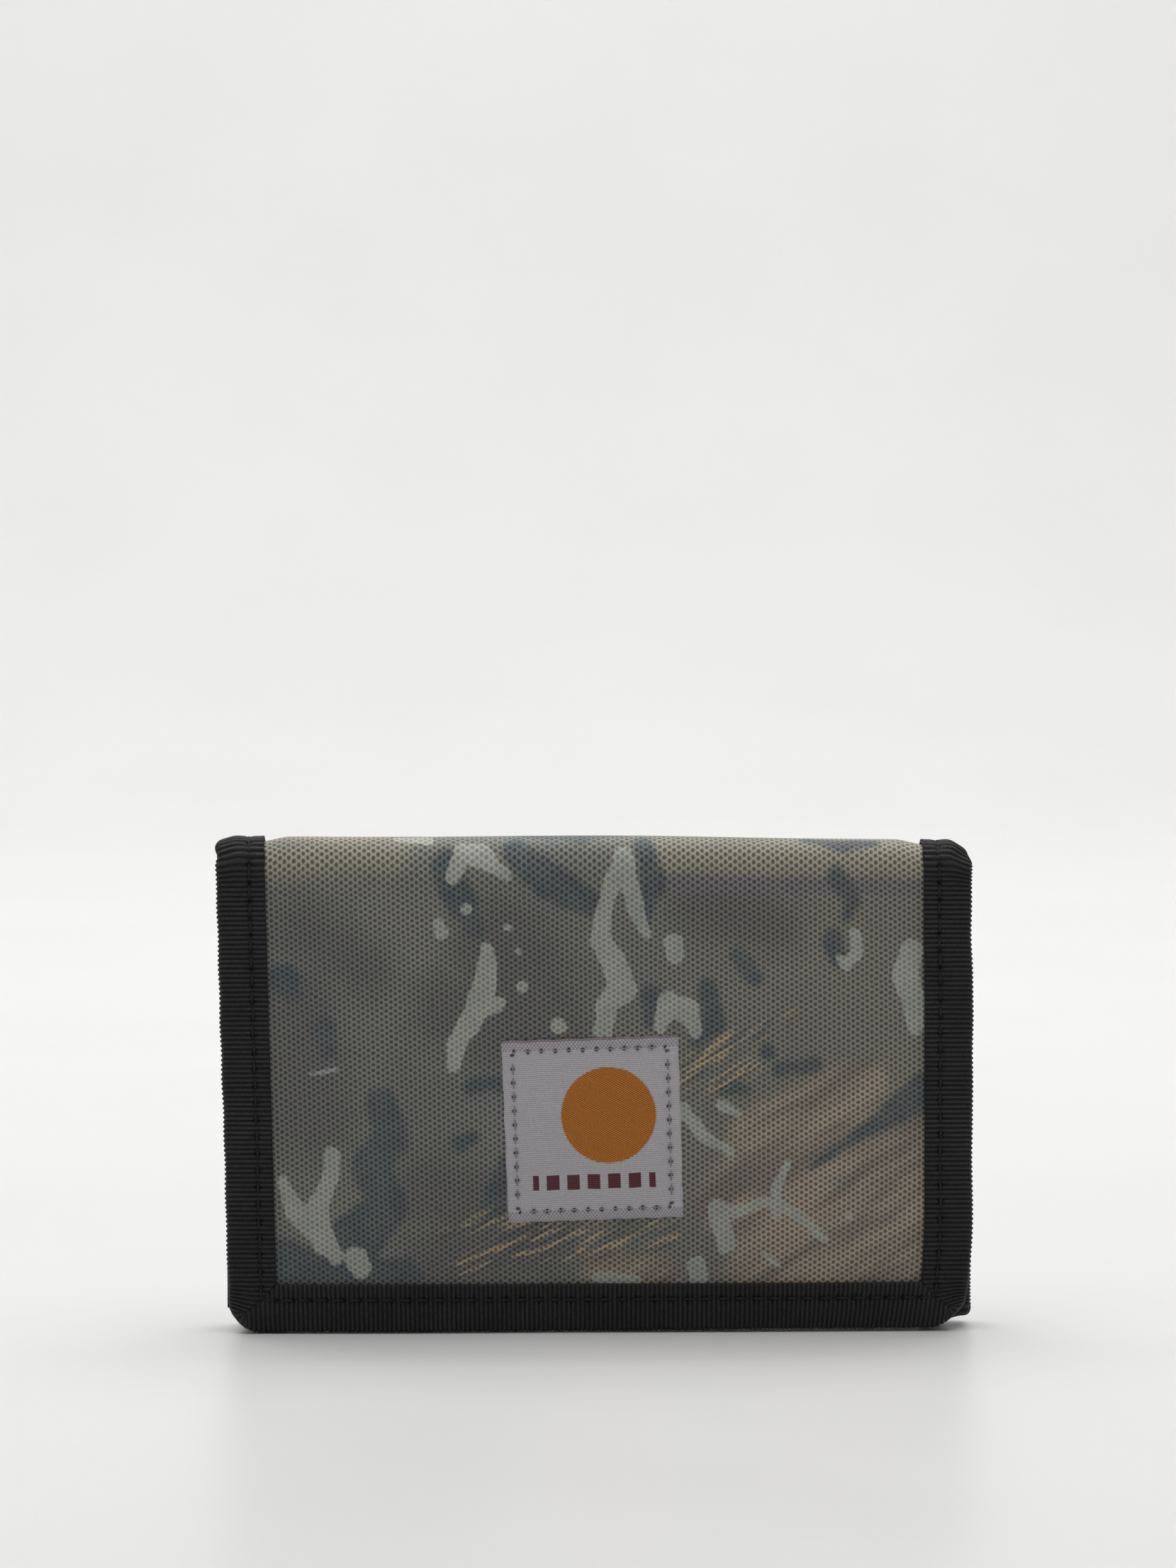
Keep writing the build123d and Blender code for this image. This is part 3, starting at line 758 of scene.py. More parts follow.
def printed_fabric():
    """Camouflage print on coated plain weave."""
    g = Graph("printed_fabric", Specular_IOR_Level=0.35, Sheen_Weight=0.12, Sheen_Roughness=0.4)
    cloth = g.attribute("cloth")
    x, s, _ = g.split(cloth)
    pale, slate, earth = g.split(g.attribute("print_a"))
    grass, band, shade = g.split(g.attribute("print_b"))
    light = g.split(g.attribute("top_highlight"))[0]
    soft = g.noise(cloth, 0.035, 3.0, 0.55)
    fine = g.noise(cloth, 0.22, 3.0, 0.6)
    crisp = g.noise(cloth, 0.45, 2.0, 0.5)
    ragged = (fine - 0.5) * 5.0
    edge = (crisp - 0.5) * 1.3

    # the ground, greener to the right, with soft dark clouds and a painted highlight, a paler band along the
    # flap's top
    colour = g.blend(g.span(soft, 0.35, 0.65), (0.146, 0.149, 0.137), (0.178, 0.178, 0.152))
    colour = g.blend(g.span(x, -20.0, 45.0, 0.0, 0.55), colour, (0.190, 0.183, 0.142))
    colour = g.blend(g.span(shade + ragged, 6.0, -3.0, 0.0, 0.75), colour, (0.108, 0.106, 0.104))
    # painted highlight along the top of the flap
    colour = g.blend(g.span(light + ragged, 3.0, -2.0, 0.0, 0.8), colour, (0.235, 0.225, 0.172))
    # streaked earth, a thin band and slate marks
    streak = g.noise(g.turned(x, s, 34.0, 0.035, 0.19), 1.0, 2.0, 0.55)
    brown = g.blend(g.span(streak, 0.36, 0.62), (0.172, 0.148, 0.124), (0.305, 0.252, 0.198))
    colour = g.blend(g.span(earth + ragged, 2.6, -1.6, 0.0, 0.9), colour, brown)
    colour = g.blend(g.span(band + edge, 0.9, -0.5, 0.0, 0.8), colour, (0.150, 0.142, 0.152))
    blue = g.blend(g.span(fine, 0.35, 0.65), (0.070, 0.088, 0.094), (0.096, 0.110, 0.110))
    colour = g.blend(g.span(slate + ragged * 0.4, 0.9, -0.8, 0.0, 0.92), colour, blue)

    # dry grass, flatter low down
    field = g.span(grass + ragged * 0.5, 0.9, -0.7)
    low_fan = g.span(s, 34.0, 30.0)
    steep = g.noise(g.turned(x, s, 34.0, 0.10, 0.95), 1.0, 2.0, 0.6, 0.6)
    flat = g.noise(g.turned(x, s, 24.0, 0.10, 0.9), 1.0, 2.0, 0.6, 0.6)
    reed = flat * low_fan + steep * (1.0 - low_fan)
    colour = g.blend(field * g.span(reed, 0.46, 0.36, 0.0, 0.6), colour, (0.085, 0.095, 0.092))
    colour = g.blend(field * g.span(reed, 0.535, 0.60, 0.0, 0.85), colour, (0.345, 0.268, 0.180))
    mark = g.span(pale + edge, 0.22, -0.22, 0.0, 0.92)
    chalk = g.blend(g.span(fine, 0.3, 0.7), (0.300, 0.318, 0.280), (0.362, 0.372, 0.324))
    colour = g.blend(mark, colour, chalk)

    # dark dots of the weave, weaker on the pale marks, and a painted highlight: paler cloth where it is
    # creased over the top fold
    dots = g.span(honeycomb(g, x, s, WEAVE_X, WEAVE_S), 0.46, 0.20)
    tone = (0.60 - dots * 1.18) * (1.0 - mark * 0.5) + 1.0
    # painted highlight: the cloth is painted paler over the top fold, where it faces the overhead light
    wear_and_fold_highlight = g.span(s, 77.5, 82.0) * g.span(s, 91.0, 86.0)
    grain = g.noise(cloth, 2.6, 2.0, 0.6)
    g.colour(colour, tone * (wear_and_fold_highlight * 0.38 + 1.0) * g.span(grain, 0.2, 0.8, 0.9, 1.1))
    g.rough(g.span(dots, 0.0, 1.0, 0.68, 0.52))
    g.bump(dots * 0.8 + grain * 0.25, 0.10, 0.9)
    return g.material


def ribbed_tape():
    """Black ribbed edge tape. Its ribs are in the mesh, and the threads along them are here."""
    g = Graph("ribbed_tape", Specular_IOR_Level=0.32, Sheen_Weight=0.10, Sheen_Roughness=0.35)
    along, across, pierced = g.split(g.attribute("cloth"))
    strands = g.wave(across + along * 0.35, 0.42)
    fuzz = g.noise(g.join(along, across), 1.6, 3.0, 0.6)
    drift = g.noise(g.join(along, across), 0.09, 2.0)
    # painted highlight and shade: the rib crowns are painted paler and the hollows between them darker
    crown = g.span(g.wave(along, RIB), -0.5, 0.9)
    tone = crown * g.span(fuzz, 0.25, 0.75, 0.013, 0.032) + 0.0045
    # painted shade: the tape is darker along its seam groove and round each stitch, where it is sunk under the
    # thread
    tone = tone * g.span(pierced, 0.2, 0.9, 1.0, 0.15) * g.span(drift, 0.3, 0.7, 0.85, 1.2)
    g.colour(g.join(tone * 1.04, tone, tone))
    g.rough(g.span(fuzz, 0.2, 0.8, 0.55, 0.75))
    g.bump(strands * 0.35 + fuzz, 0.06, 0.8)
    return g.material


def sewing_thread(name, colour):
    """Twisted sewing thread."""
    g = Graph(name, Specular_IOR_Level=0.3)
    along, around, _ = g.split(g.attribute("cloth"))
    twist = g.wave(along + around, 0.28)
    g.colour(colour, g.span(twist, -1.0, 1.0, 0.65, 1.1))
    g.rough(g.span(twist, -1.0, 1.0, 0.7, 0.5))
    g.bump(twist, 0.04)
    return g.material


def woven_plain(name, dark, lit, pitch_x, pitch_s, sheen=0.1, depth=0.05):
    """Plain woven lining or tape in one colour."""
    g = Graph(name, Specular_IOR_Level=0.3, Sheen_Weight=sheen, Sheen_Roughness=0.4)
    cloth = g.attribute("cloth")
    x, s, _ = g.split(cloth)
    weave = plain_weave(g, x, s, pitch_x, pitch_s)
    drift = g.noise(cloth, 0.06, 3.0)
    fuzz = g.noise(cloth, 1.8, 3.0, 0.6)
    tone = g.span(drift, 0.3, 0.7, 0.8, 1.2) * g.span(fuzz, 0.2, 0.8, 0.85, 1.15)
    g.colour(g.blend(g.span(weave, -0.6, 0.6), dark, lit), tone)
    g.rough(g.span(fuzz, 0.2, 0.8, 0.5, 0.7))
    g.bump(weave + fuzz, depth, 0.8)
    return g.material


def label_satin():
    """Grey satin label with a generic woven motif: a plain orange disc over a row of maroon dashes."""
    g = Graph("label_satin", Specular_IOR_Level=0.4, Sheen_Weight=0.15, Sheen_Roughness=0.3)
    cloth = g.attribute("cloth")
    x, z, pierced = g.split(cloth)
    rows = g.wave(z, 0.36)
    twill = g.wave(x + z * 1.6, 0.62)
    fuzz = g.noise(cloth, 2.4, 2.0, 0.6)
    hem = g.span(g.math("ABSOLUTE", z), LABEL_HALF_Z - 2.0, LABEL_HALF_Z - 1.7)
    coarse = g.wave(x, 0.62) * g.wave(z, 0.8)
    colour = g.blend(g.span(rows, -1.0, 1.0), (0.410, 0.392, 0.415), (0.545, 0.522, 0.545))
    colour = g.blend(hem * g.span(coarse, -0.5, 0.5), colour, (0.300, 0.285, 0.305))

    # the disc, with the stepped edge of a woven label
    away_x, away_z = x - DISC_X, z - DISC_Z
    away = g.math("SQRT", away_x * away_x + away_z * away_z) + rows * 0.12
    motif = g.span(away, DISC_RADIUS, DISC_RADIUS - 0.15)
    orange = g.blend(g.span(twill, -0.7, 0.7), (0.270, 0.078, 0.006), (0.680, 0.232, 0.020))
    colour = g.blend(motif, colour, orange)
    # the dashes, and a thin line along the top hem
    in_row = g.span(g.math("ABSOLUTE", z - DASH_Z), 1.35, 1.2)
    in_span = g.span(g.math("ABSOLUTE", x), 10.9, 10.7)
    bar = in_row * in_span * g.span(g.wave(x, DASH_PITCH), -0.45, -0.25)
    maroon = g.blend(g.span(rows, -1.0, 1.0), (0.065, 0.010, 0.018), (0.135, 0.026, 0.040))
    colour = g.blend(bar, colour, maroon)
    top_line = g.span(z, LABEL_HALF_Z - 0.45, LABEL_HALF_Z - 0.3)
    colour = g.blend(top_line * 0.6, colour, (0.10, 0.035, 0.045))
    # painted shade: the satin is darker round each stitch, where it is sunk under the thread
    g.colour(colour, g.span(fuzz, 0.2, 0.8, 0.9, 1.1) * g.span(pierced, 0.25, 0.75, 1.0, 0.12))
    g.rough(g.span(motif, 0.0, 1.0, 0.42, 0.6))
    g.bump(rows * 0.5 + motif * twill * 1.2 + hem * coarse, 0.035, 0.8)
    return g.material


def zip_metal():
    """Black lacquered zinc, with a little wear on its raised parts."""
    g = Graph("zip_metal", Metallic=0.85, Specular_IOR_Level=0.5, Coat_Weight=0.3, Coat_Roughness=0.25)
    wear_and_fold_highlight = g.noise(g.place(), 900.0, 4.0, 0.6)
    g.colour(g.blend(g.span(wear_and_fold_highlight, 0.55, 0.72, 0.0, 0.5), (0.035, 0.035, 0.038), (0.20, 0.19, 0.185)))
    g.rough(g.span(wear_and_fold_highlight, 0.3, 0.7, 0.30, 0.45))
    g.bump(wear_and_fold_highlight, 0.01, 0.4)
    return g.material


def zip_nylon():
    """Black nylon coil."""
    g = Graph("zip_nylon", Specular_IOR_Level=0.5)
    scuffs = g.noise(g.attribute("cloth"), 0.8, 3.0, 0.6)
    g.colour(g.blend(g.span(scuffs, 0.4, 0.7), (0.016, 0.016, 0.018), (0.030, 0.030, 0.033)))
    g.rough(g.span(scuffs, 0.3, 0.7, 0.30, 0.5))
    g.bump(scuffs, 0.02, 0.5)
    return g.material


def clear_film():
    """Clear soft vinyl with a few faint scuffs."""
    g = Graph("clear_film", Specular_IOR_Level=0.5, Alpha=0.22)
    scuffs = g.noise(g.attribute("cloth"), 0.12, 4.0, 0.65)
    g.colour(g.blend(g.span(scuffs, 0.4, 0.7), (0.75, 0.77, 0.78), (0.85, 0.87, 0.88)))
    g.rough(g.span(scuffs, 0.35, 0.75, 0.08, 0.22))
    g.bump(scuffs, 0.25, 0.5)
    return g.material


def stage_paint():
    """Pale, faintly glossy table top that runs up into the backdrop."""
    g = Graph("stage_paint", Specular_IOR_Level=0.2)
    mottle = g.noise(g.place(), 9.0, 2.0)
    g.colour(g.blend(g.span(mottle, 0.3, 0.7), (0.845, 0.842, 0.836), (0.860, 0.857, 0.852)))
    g.rough(g.span(mottle, 0.3, 0.7, 0.35, 0.38))
    return g.material


# the label's own width and height, from the box of the turned CAD label
LABEL_BOX = node_box("woven_label")
LABEL_TURN = math.radians(1.7)
LABEL_X = (LABEL_BOX[0] + LABEL_BOX[1]) / 2
LABEL_Z = (LABEL_BOX[4] + LABEL_BOX[5]) / 2
LABEL_SPAN_X = LABEL_BOX[1] - LABEL_BOX[0]
LABEL_SPAN_Z = LABEL_BOX[5] - LABEL_BOX[4]
LABEL_HALF_X, LABEL_HALF_Z = [
    (a * math.cos(LABEL_TURN) - b * math.sin(LABEL_TURN)) / math.cos(2 * LABEL_TURN) / 2
    for a, b in ((LABEL_SPAN_X, LABEL_SPAN_Z), (LABEL_SPAN_Z, LABEL_SPAN_X))]
# its motif, from the label's middle
DISC_X, DISC_Z = 2.9, 2.4
DISC_RADIUS = 8.35
DASH_Z = -9.0
DASH_PITCH = 3.6

PRINTED = printed_fabric()
RIBBED = ribbed_tape()
BLACK_THREAD = sewing_thread("black_thread", (0.026, 0.025, 0.026))
GREY_THREAD = sewing_thread("grey_thread", (0.40, 0.36, 0.385))
LINING = woven_plain("lining_fabric", (0.010, 0.010, 0.011), (0.026, 0.026, 0.028), 0.42, 0.36)
ZIP_TAPE = woven_plain("zip_tape", (0.010, 0.010, 0.011), (0.022, 0.022, 0.024), 0.7, 0.34)
HOOK_BASE = woven_plain("hook_tape", (0.010, 0.010, 0.010), (0.024, 0.024, 0.025), 0.6, 0.6)
LOOP_BASE = woven_plain("loop_tape", (0.010, 0.010, 0.010), (0.024, 0.024, 0.025), 0.5, 0.5, 0.3, 0.12)
SATIN = label_satin()
METAL = zip_metal()
NYLON = zip_nylon()
FILM = clear_film()


# ================================================================ fabric pieces
def point(depth, height):
    """A place in the row frame, in metres."""
    return (0.0, (DEPTH / 2 - depth) * MM, height * MM)


TURN = 1.25              # half the distance, across a crease's corner, over which the fabric turns

# the two bodies at each crease, and where the fabric starts and stops turning from one to the other
CREASES = {
    "rear_top": ("back_panel", "top_fold", point(-TURN, HEIGHT - TURN), point(TURN, HEIGHT + TURN)),
    "front_top": ("top_fold", "flap_head", point(DEPTH - TURN, HEIGHT + TURN),
                  point(DEPTH + TURN, HEIGHT - TURN)),
    "flap": ("flap_head", "flap", point(FLAP_MIDDLE, FLAP_CREASE + 1.9),
             point(FLAP_MIDDLE, FLAP_CREASE - 1.9)),
    "bottom": ("back_panel", "coin_panel", point(3.0, 0.5), point(6.5, 4.0)),
}


def settle(piece, crease=None, body=None, nodes=(), flat=None):
    """Bakes a piece's placement into its mesh if it lies at a crease, otherwise parents it to its body, and
    hides the CAD nodes it replaces.
    """
    if crease:
        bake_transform(piece)
    else:
        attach(piece, body)
    if nodes:
        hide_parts(*nodes)
    if flat:
        flat[0] * MM
        flat[1] * MM
    return piece


def shell_level(run, s):
    return run.half(s) - TAPE - SHELL_THICK / 2


def lining_level(run, s):
    return -(run.half(s) - TAPE - 0.2) * room_inside(run, s)


def cloth_sheet(name, run, s0, s1, level, step, material, extra=None):
    """One layer of fabric from edge to edge, between two lengths of a run."""
    columns = np.linspace(-CLOTH_WIDTH / 2, CLOTH_WIDTH / 2, int(CLOTH_WIDTH / step) + 1)
    count = max(3, int(abs(s1 - s0) / step) + 1)
    rows = np.linspace(s0, s1, count)
    x, s = np.meshgrid(columns, rows)
    points = drape(run.place(x, s, level(run, s)))
    cloth = np.stack([x, unrolled(run, s), 0 * x], -1)
    pile = Pile()
    pile.grid(points, cloth)
    return pile.build(name, [material], extra)


S_FLAP_CLOTH = S_FLAP_END - 1.8
S_BOTTOM = coin.find(0, COIN_MIDDLE, ZIP_LOW)
S_BACK_FOOT = coin.find(2, BACK_MIDDLE, 2.5)
# name of the stretch, run, its two ends, crease, fabric nodes, lining nodes
STRETCHES = [
    ("back_top", upper, 0.0, S_TOP, "rear_top", ["back_shell"], []),
    ("top", upper, S_TOP, S_HEAD, "front_top", ["top_fold_shell", "flap_head_shell"],
     ["top_fold_lining", "flap_head_lining"]),
    ("flap", upper, S_HEAD, S_FLAP_CLOTH, "flap", ["flap_shell"], ["flap_lining"]),
    ("bottom", coin, S_BOTTOM, S_BACK_FOOT, "bottom", ["coin_shell_lower", "bottom_fold_shell"],
     ["bottom_fold_lining"]),
    ("back_low", coin, S_BACK_FOOT, S_COIN_END, None, [], []),
]


def make_fabric():
    for name, run, s0, s1, crease, shells, linings in STRETCHES:
        fine = 0.45 if name in ("flap", "top") else 0.7
        piece = cloth_sheet(name + "_fabric", run, s0, s1, shell_level, fine, PRINTED, extra=print_and_highlight_fields)
        settle(piece, crease, "back_panel", shells, (CLOTH_WIDTH, abs(s1 - s0)))
        begin, level = s0, lining_level
        if name == "back_top":
            begin, level = upper.find(0, BACK_MIDDLE, 72.0), rear_lining
        piece = cloth_sheet(name + "_lining_cloth", run, begin, s1, level, 0.9, LINING)
        settle(piece, crease, "back_panel", linings, (CLOTH_WIDTH, abs(s1 - begin)))


def rear_lining(run, s):
    """Behind the note pocket the lining runs just inside the outer fabric."""
    up = smooth((s - upper.find(0, BACK_MIDDLE, 78.0)) / 5.0)
    return (1 - up) * 0.1 + up * lining_level(run, s)


def make_tapes():
    ends = {"rear_top": (upper, 0.0, S_TOP, "back_top"), "front_top": (upper, S_TOP, S_HEAD, "top")}
    nodes = {
        ("rear_top", "left"): ["back_tape_left"], ("rear_top", "right"): ["back_tape_right"],
        ("front_top", "left"): ["top_fold_tape_left", "flap_head_tape_left"],
        ("front_top", "right"): ["top_fold_tape_right", "flap_head_tape_right"],
    }
    for crease, (run, s0, s1, name) in ends.items():
        for side, word in ((-1, "left"), (1, "right")):
            pile = Pile()
            straight_tape(pile, run, side, s0, s1)
            piece = pile.build("%s_tape_%s" % (name, word), [RIBBED, BLACK_THREAD])
            settle(piece, crease, nodes=nodes[crease, word])
    pile = Pile()
    for side in (-1, 1):
        straight_tape(pile, coin, side, S_BACK_FOOT, S_COIN_END)
    piece = pile.build("back_low_tapes", [RIBBED, BLACK_THREAD])
    settle(piece, body="back_panel")
    pile = Pile()
    turned_tape(pile, upper, S_HEAD, S_FLAP_END)
    piece = pile.build("flap_edge_tape", [RIBBED, BLACK_THREAD])
    settle(piece, "flap", nodes=["flap_tape"])
    pile = Pile()
    turned_tape(pile, coin, S_BACK_FOOT, 0.0)
    piece = pile.build("coin_edge_tape", [RIBBED, BLACK_THREAD])
    settle(piece, "bottom", nodes=["coin_tape", "bottom_fold_tape_left", "bottom_fold_tape_right"])


def panel(box, step, seed=None, hem=0.0):
    """A flat piece of cloth that fills its box, closed all round, with an optional thick hem at the top."""
    x0, x1, rear, front, z0, z1 = box
    columns = np.linspace(x0, x1, max(2, int((x1 - x0) / step) + 1))
    rows = np.linspace(z0, z1, max(2, int((z1 - z0) / step) + 1))
    x, z = np.meshgrid(columns, rows)
    middle = np.full(x.shape, (rear + front) / 2)
    if seed is not None:
        middle = middle + 0.06 * ripple(x, z, seed, 30) * (z - z0) / (z1 - z0)
    half = (front - rear) / 2
    edge = np.minimum(np.minimum(x - x0, x1 - x), np.minimum(z - z0, z1 - z))
    half = half * (0.35 + 0.65 * smooth(edge / 0.4))
    if hem:
        half = half + 0.12 * smooth((z - (z1 - hem)) / 0.3) * smooth(edge / 0.4)
    pile = Pile()
    cloth = np.stack([x, z, 0 * x], -1)
    faces = []
    for sign in (1, -1):
        y = DEPTH / 2 - (middle + sign * half)
        faces.append(np.stack([x, y, z], -1))
        pile.grid(faces[-1], cloth)
    first, last, whole = slice(0, 1), slice(-1, None), slice(None)
    for border in ((first, whole), (last, whole), (whole, first), (whole, last)):
        a, b, c = (grid[border].reshape(1, -1, 3) for grid in (*faces, cloth))
        pile.grid(np.concatenate([a, b]), np.concatenate([c, c]))
    return pile


def flat_seam(pile, corners, depth, slot, pitch=2.6, length=1.9, width=0.35):
    """Stitches along straight lines of (x, z) corners on a flat piece, on its front."""
    for (x0, z0), (x1, z1) in zip(corners, corners[1:]):
        span = math.hypot(x1 - x0, z1 - z0)
        count = max(1, int(span / pitch))
        middles = (np.arange(count) + 0.5) / count
        half = length / 2 / span
        y = DEPTH / 2 - depth

        def spot(t):
            return np.stack([x0 + (x1 - x0) * t, np.full(len(t), y), z0 + (z1 - z0) * t], -1)

        normals = np.tile((0.0, -1.0, 0.0), (count, 1))
        thread(pile, spot(middles - half), spot(middles + half), normals, width, slot)


def trimmed(box, side, bottom, top):
    """A node's box with its sides, bottom and top drawn in."""
    x0, x1, rear, front, z0, z1 = box
    return x0 + side, x1 - side, rear, front, z0 + bottom, z1 - top


def rim(box, inset):
    """Corners of a closed rectangle inside a box."""
    x0, x1, _, _, z0, z1 = trimmed(box, inset, inset, inset)
    return [(x0, z0), (x1, z0), (x1, z1), (x0, z1), (x0, z0)]


def settle_flat(piece, body, node, box):
    """Settles a flat sheet, whose flat size is its box's."""
    flat = (box[1] - box[0], box[5] - box[4])
    settle(piece, body=body, nodes=[node], flat=flat)


def make_pockets():
    """Note pocket wall, card slots and the coin panel's inner wall with its window."""
    box = node_box("note_pocket_lining")
    x0, x1, _, front, z0, z1 = box
    cut = trimmed(box, 1, BACK_JOIN - 1 - z0, 0)
    pile = panel(cut, 1.2, 21, hem=7.0)
    flat_seam(pile, [(x0 + 8, z1 - 6.4), (x1 - 8, z1 - 6.4)], front + 0.06, 1)
    settle_flat(pile.build("note_pocket_wall", [LINING, BLACK_THREAD]), "back_panel", "note_pocket_lining",
                cut)
    for number in (1, 2, 3):
        node = "card_slot_%d" % number
        box = node_box(node)
        x0, x1, _, front, z0, z1 = box
        pile = panel(box, 1.0, 30 + number, hem=4.0)
        flat_seam(pile, [(x0 + 1, z1 - 3.4), (x1 - 1, z1 - 3.4)], front + 0.06, 1)
        for x in (x0 + 1.6, x1 - 1.6):
            flat_seam(pile, [(x, z0 + 1), (x, z1 - 4.4)], front + 0.02, 1)
        settle_flat(pile.build("card_slot_panel_%d" % number, [LINING, BLACK_THREAD]), "back_panel", node,
                    box)
    cut = trimmed(node_box("coin_lining"), 1, 1.2, 1)
    settle_flat(panel(cut, 1.2, 41).build("coin_pocket_wall", [LINING]), "coin_panel", "coin_lining",
                cut)
    cut = trimmed(node_box("window_film"), 1, 1, 1)
    settle_flat(panel(cut, 1.5, 43).build("window_sheet", [FILM]), "coin_panel", "window_film",
                cut)
    make_window_frame(node_box("window_border"))


def make_window_frame(box):
    """Four strips of ribbed tape round the ticket window, with their seam."""
    band = 5.0
    _, _, rear, front, _, _ = box
    pile = Pile()
    corners = rim(box, 0)
    across = np.array([0.0, 0.0, 0.12, 0.5, 1.2, 2.0, 3.0, 4.0, band - 0.5, band - 0.1, band, band])[None]
    for (xa, za), (xb, zb) in zip(corners, corners[1:]):
        length = math.hypot(xb - xa, zb - za)
        way = ((xb - xa) / length, (zb - za) / length)
        t = np.linspace(0, 1, int(length / (RIB / 6)))[:, None]
        along = across + (length - 2 * across) * t
        lift = 0.04 * np.cos(2 * math.pi * along / RIB) + 0.1 * np.sin(math.pi * across / band)
        lift = np.where((across <= 0) | (across >= band), 0.0, lift + 0.2)
        lift[:, 0] = lift[:, -1] = -0.1
        x = xa + way[0] * along - way[1] * across
        z = za + way[1] * along + way[0] * across
        y = DEPTH / 2 - (front - lift)
        pile.grid(np.stack([x, y, z], -1), np.stack(np.broadcast_arrays(along, across, 0 * along), -1))
    flat_seam(pile, rim(box, band - 1.2), rear - 0.02, 1)
    piece = pile.build("window_frame", [RIBBED, BLACK_THREAD])
    settle(piece, body="coin_panel", nodes=["window_border"])


def zip_coil(box, lean):
    """One row of nylon coil along a box, sewn down over a cord."""
    x0, x1, rear, front, z0, z1 = box
    pitch, wire, cord, sides = 1.25, 0.42, 0.34, 8
    depth, height = (rear + front) / 2, (z0 + z1) / 2
    turns = int((x1 - x0) / pitch)
    t = np.linspace(0, turns, turns * 14 + 1)
    core = np.stack([
        x0 + t * pitch,
        DEPTH / 2 - (depth + (front - rear - wire) / 2 * np.sin(2 * math.pi * t)),
        height + lean * ((z1 - z0) / 2 - wire / 2) * np.cos(2 * math.pi * t)], -1)
    tangent = np.gradient(core, axis=0)
    tangent /= np.linalg.norm(tangent, axis=1, keepdims=True)
    side = np.cross(tangent, (1.0, 0.0, 0.0))
    side /= np.linalg.norm(side, axis=1, keepdims=True)
    up = np.cross(side, tangent)
    ring = np.linspace(0, 2 * math.pi, sides)
    tube = core[:, None] + wire / 2 * (side[:, None] * np.cos(ring)[None, :, None]
                                       + up[:, None] * np.sin(ring)[None, :, None])
    pile = Pile()
    pile.grid(tube, np.stack([*np.meshgrid(t * pitch, ring, indexing="ij"), np.zeros((len(t), sides))], -1))
    x = np.linspace(x0, x1, 260)[:, None] + 0 * ring[None]
    z = height + lean * 0.55 + cord * np.cos(ring)[None] + 0 * x
    y = DEPTH / 2 - (depth + 0.05 + cord * np.sin(ring)[None] + 0 * x)
    pile.grid(np.stack([x, y, z], -1), np.stack([x, z, 0 * x], -1))
    return pile


def make_zip():
    """The zipped opening: fabric above it, tapes, coils, and the metal parts carried over."""
    _, _, rear, front, z0, z1 = node_box("coin_shell_upper")
    s0, s1 = coin.find(0, COIN_MIDDLE, z1 - 0.2), coin.find(0, COIN_MIDDLE, z0)
    piece = cloth_sheet("coin_upper_fabric", coin, s0, s1, shell_level, 0.7, PRINTED, extra=print_and_highlight_fields)
    settle(piece, body="coin_panel", nodes=["coin_shell_upper"],
           flat=(CLOTH_WIDTH, z1 - z0 - 0.2))
    pile = Pile()
    for z, way in ((ZIP_HIGH, 1), (ZIP_LOW, -1)):
        # the fabric's edge, rolled under and sewn down beside the coil
        angle = np.linspace(-0.5 * math.pi, 0.5 * math.pi, 7)[None]
        x = np.linspace(-(HALF - 9.0), HALF - 9.0, 240)[:, None] + 0 * angle
        y = DEPTH / 2 - ((rear + front) / 2 + 0.42 * np.sin(angle) + 0 * x)
        height = z - way * 0.25 * np.cos(angle) + 0 * x
        pile.grid(np.stack([x, y, height], -1), np.stack([x, height, 0 * x], -1))
        flat_seam(pile, [(-(HALF - 10), z + way * 1.6), (HALF - 10, z + way * 1.6)], front - 0.25, 1)
    piece = pile.build("zip_opening_edges", [PRINTED, BLACK_THREAD], extra=print_and_highlight_fields)
    settle(piece, body="coin_panel")
    for word, lean in (("upper", 1), ("lower", -1)):
        piece = panel(trimmed(node_box("zip_tape_" + word), 4, 0, 0), 1.0, 51).build(
            "zip_tape_cloth_" + word, [ZIP_TAPE])
        settle(piece, body="coin_panel", nodes=["zip_tape_" + word])
        piece = zip_coil(node_box("zip_chain_" + word), lean).build("zip_coil_" + word, [NYLON])
        settle(piece, body="coin_panel", nodes=["zip_chain_" + word])
    for node in ("zip_slider", "zip_pull", "zip_stop_left", "zip_stop_right"):
        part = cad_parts[node]
        for slot in part.material_slots:
            slot.link = "OBJECT"
            slot.material = METAL
        bevel = part.modifiers.new("soft edges", "BEVEL")
        bevel.width = 0.12 * MM
        bevel.segments = 2
        bevel.limit_method = "ANGLE"


def add_bristles(pile, core, section):
    """Thin tubes along each path of core, with the given cross-section."""
    tubes = core[:, :, None] + section[None, None]
    faces = tube_faces(len(core), core.shape[1], len(section))
    pile.add(tubes.reshape(-1, 3), np.zeros((tubes.size // 3, 3)), faces, 1)


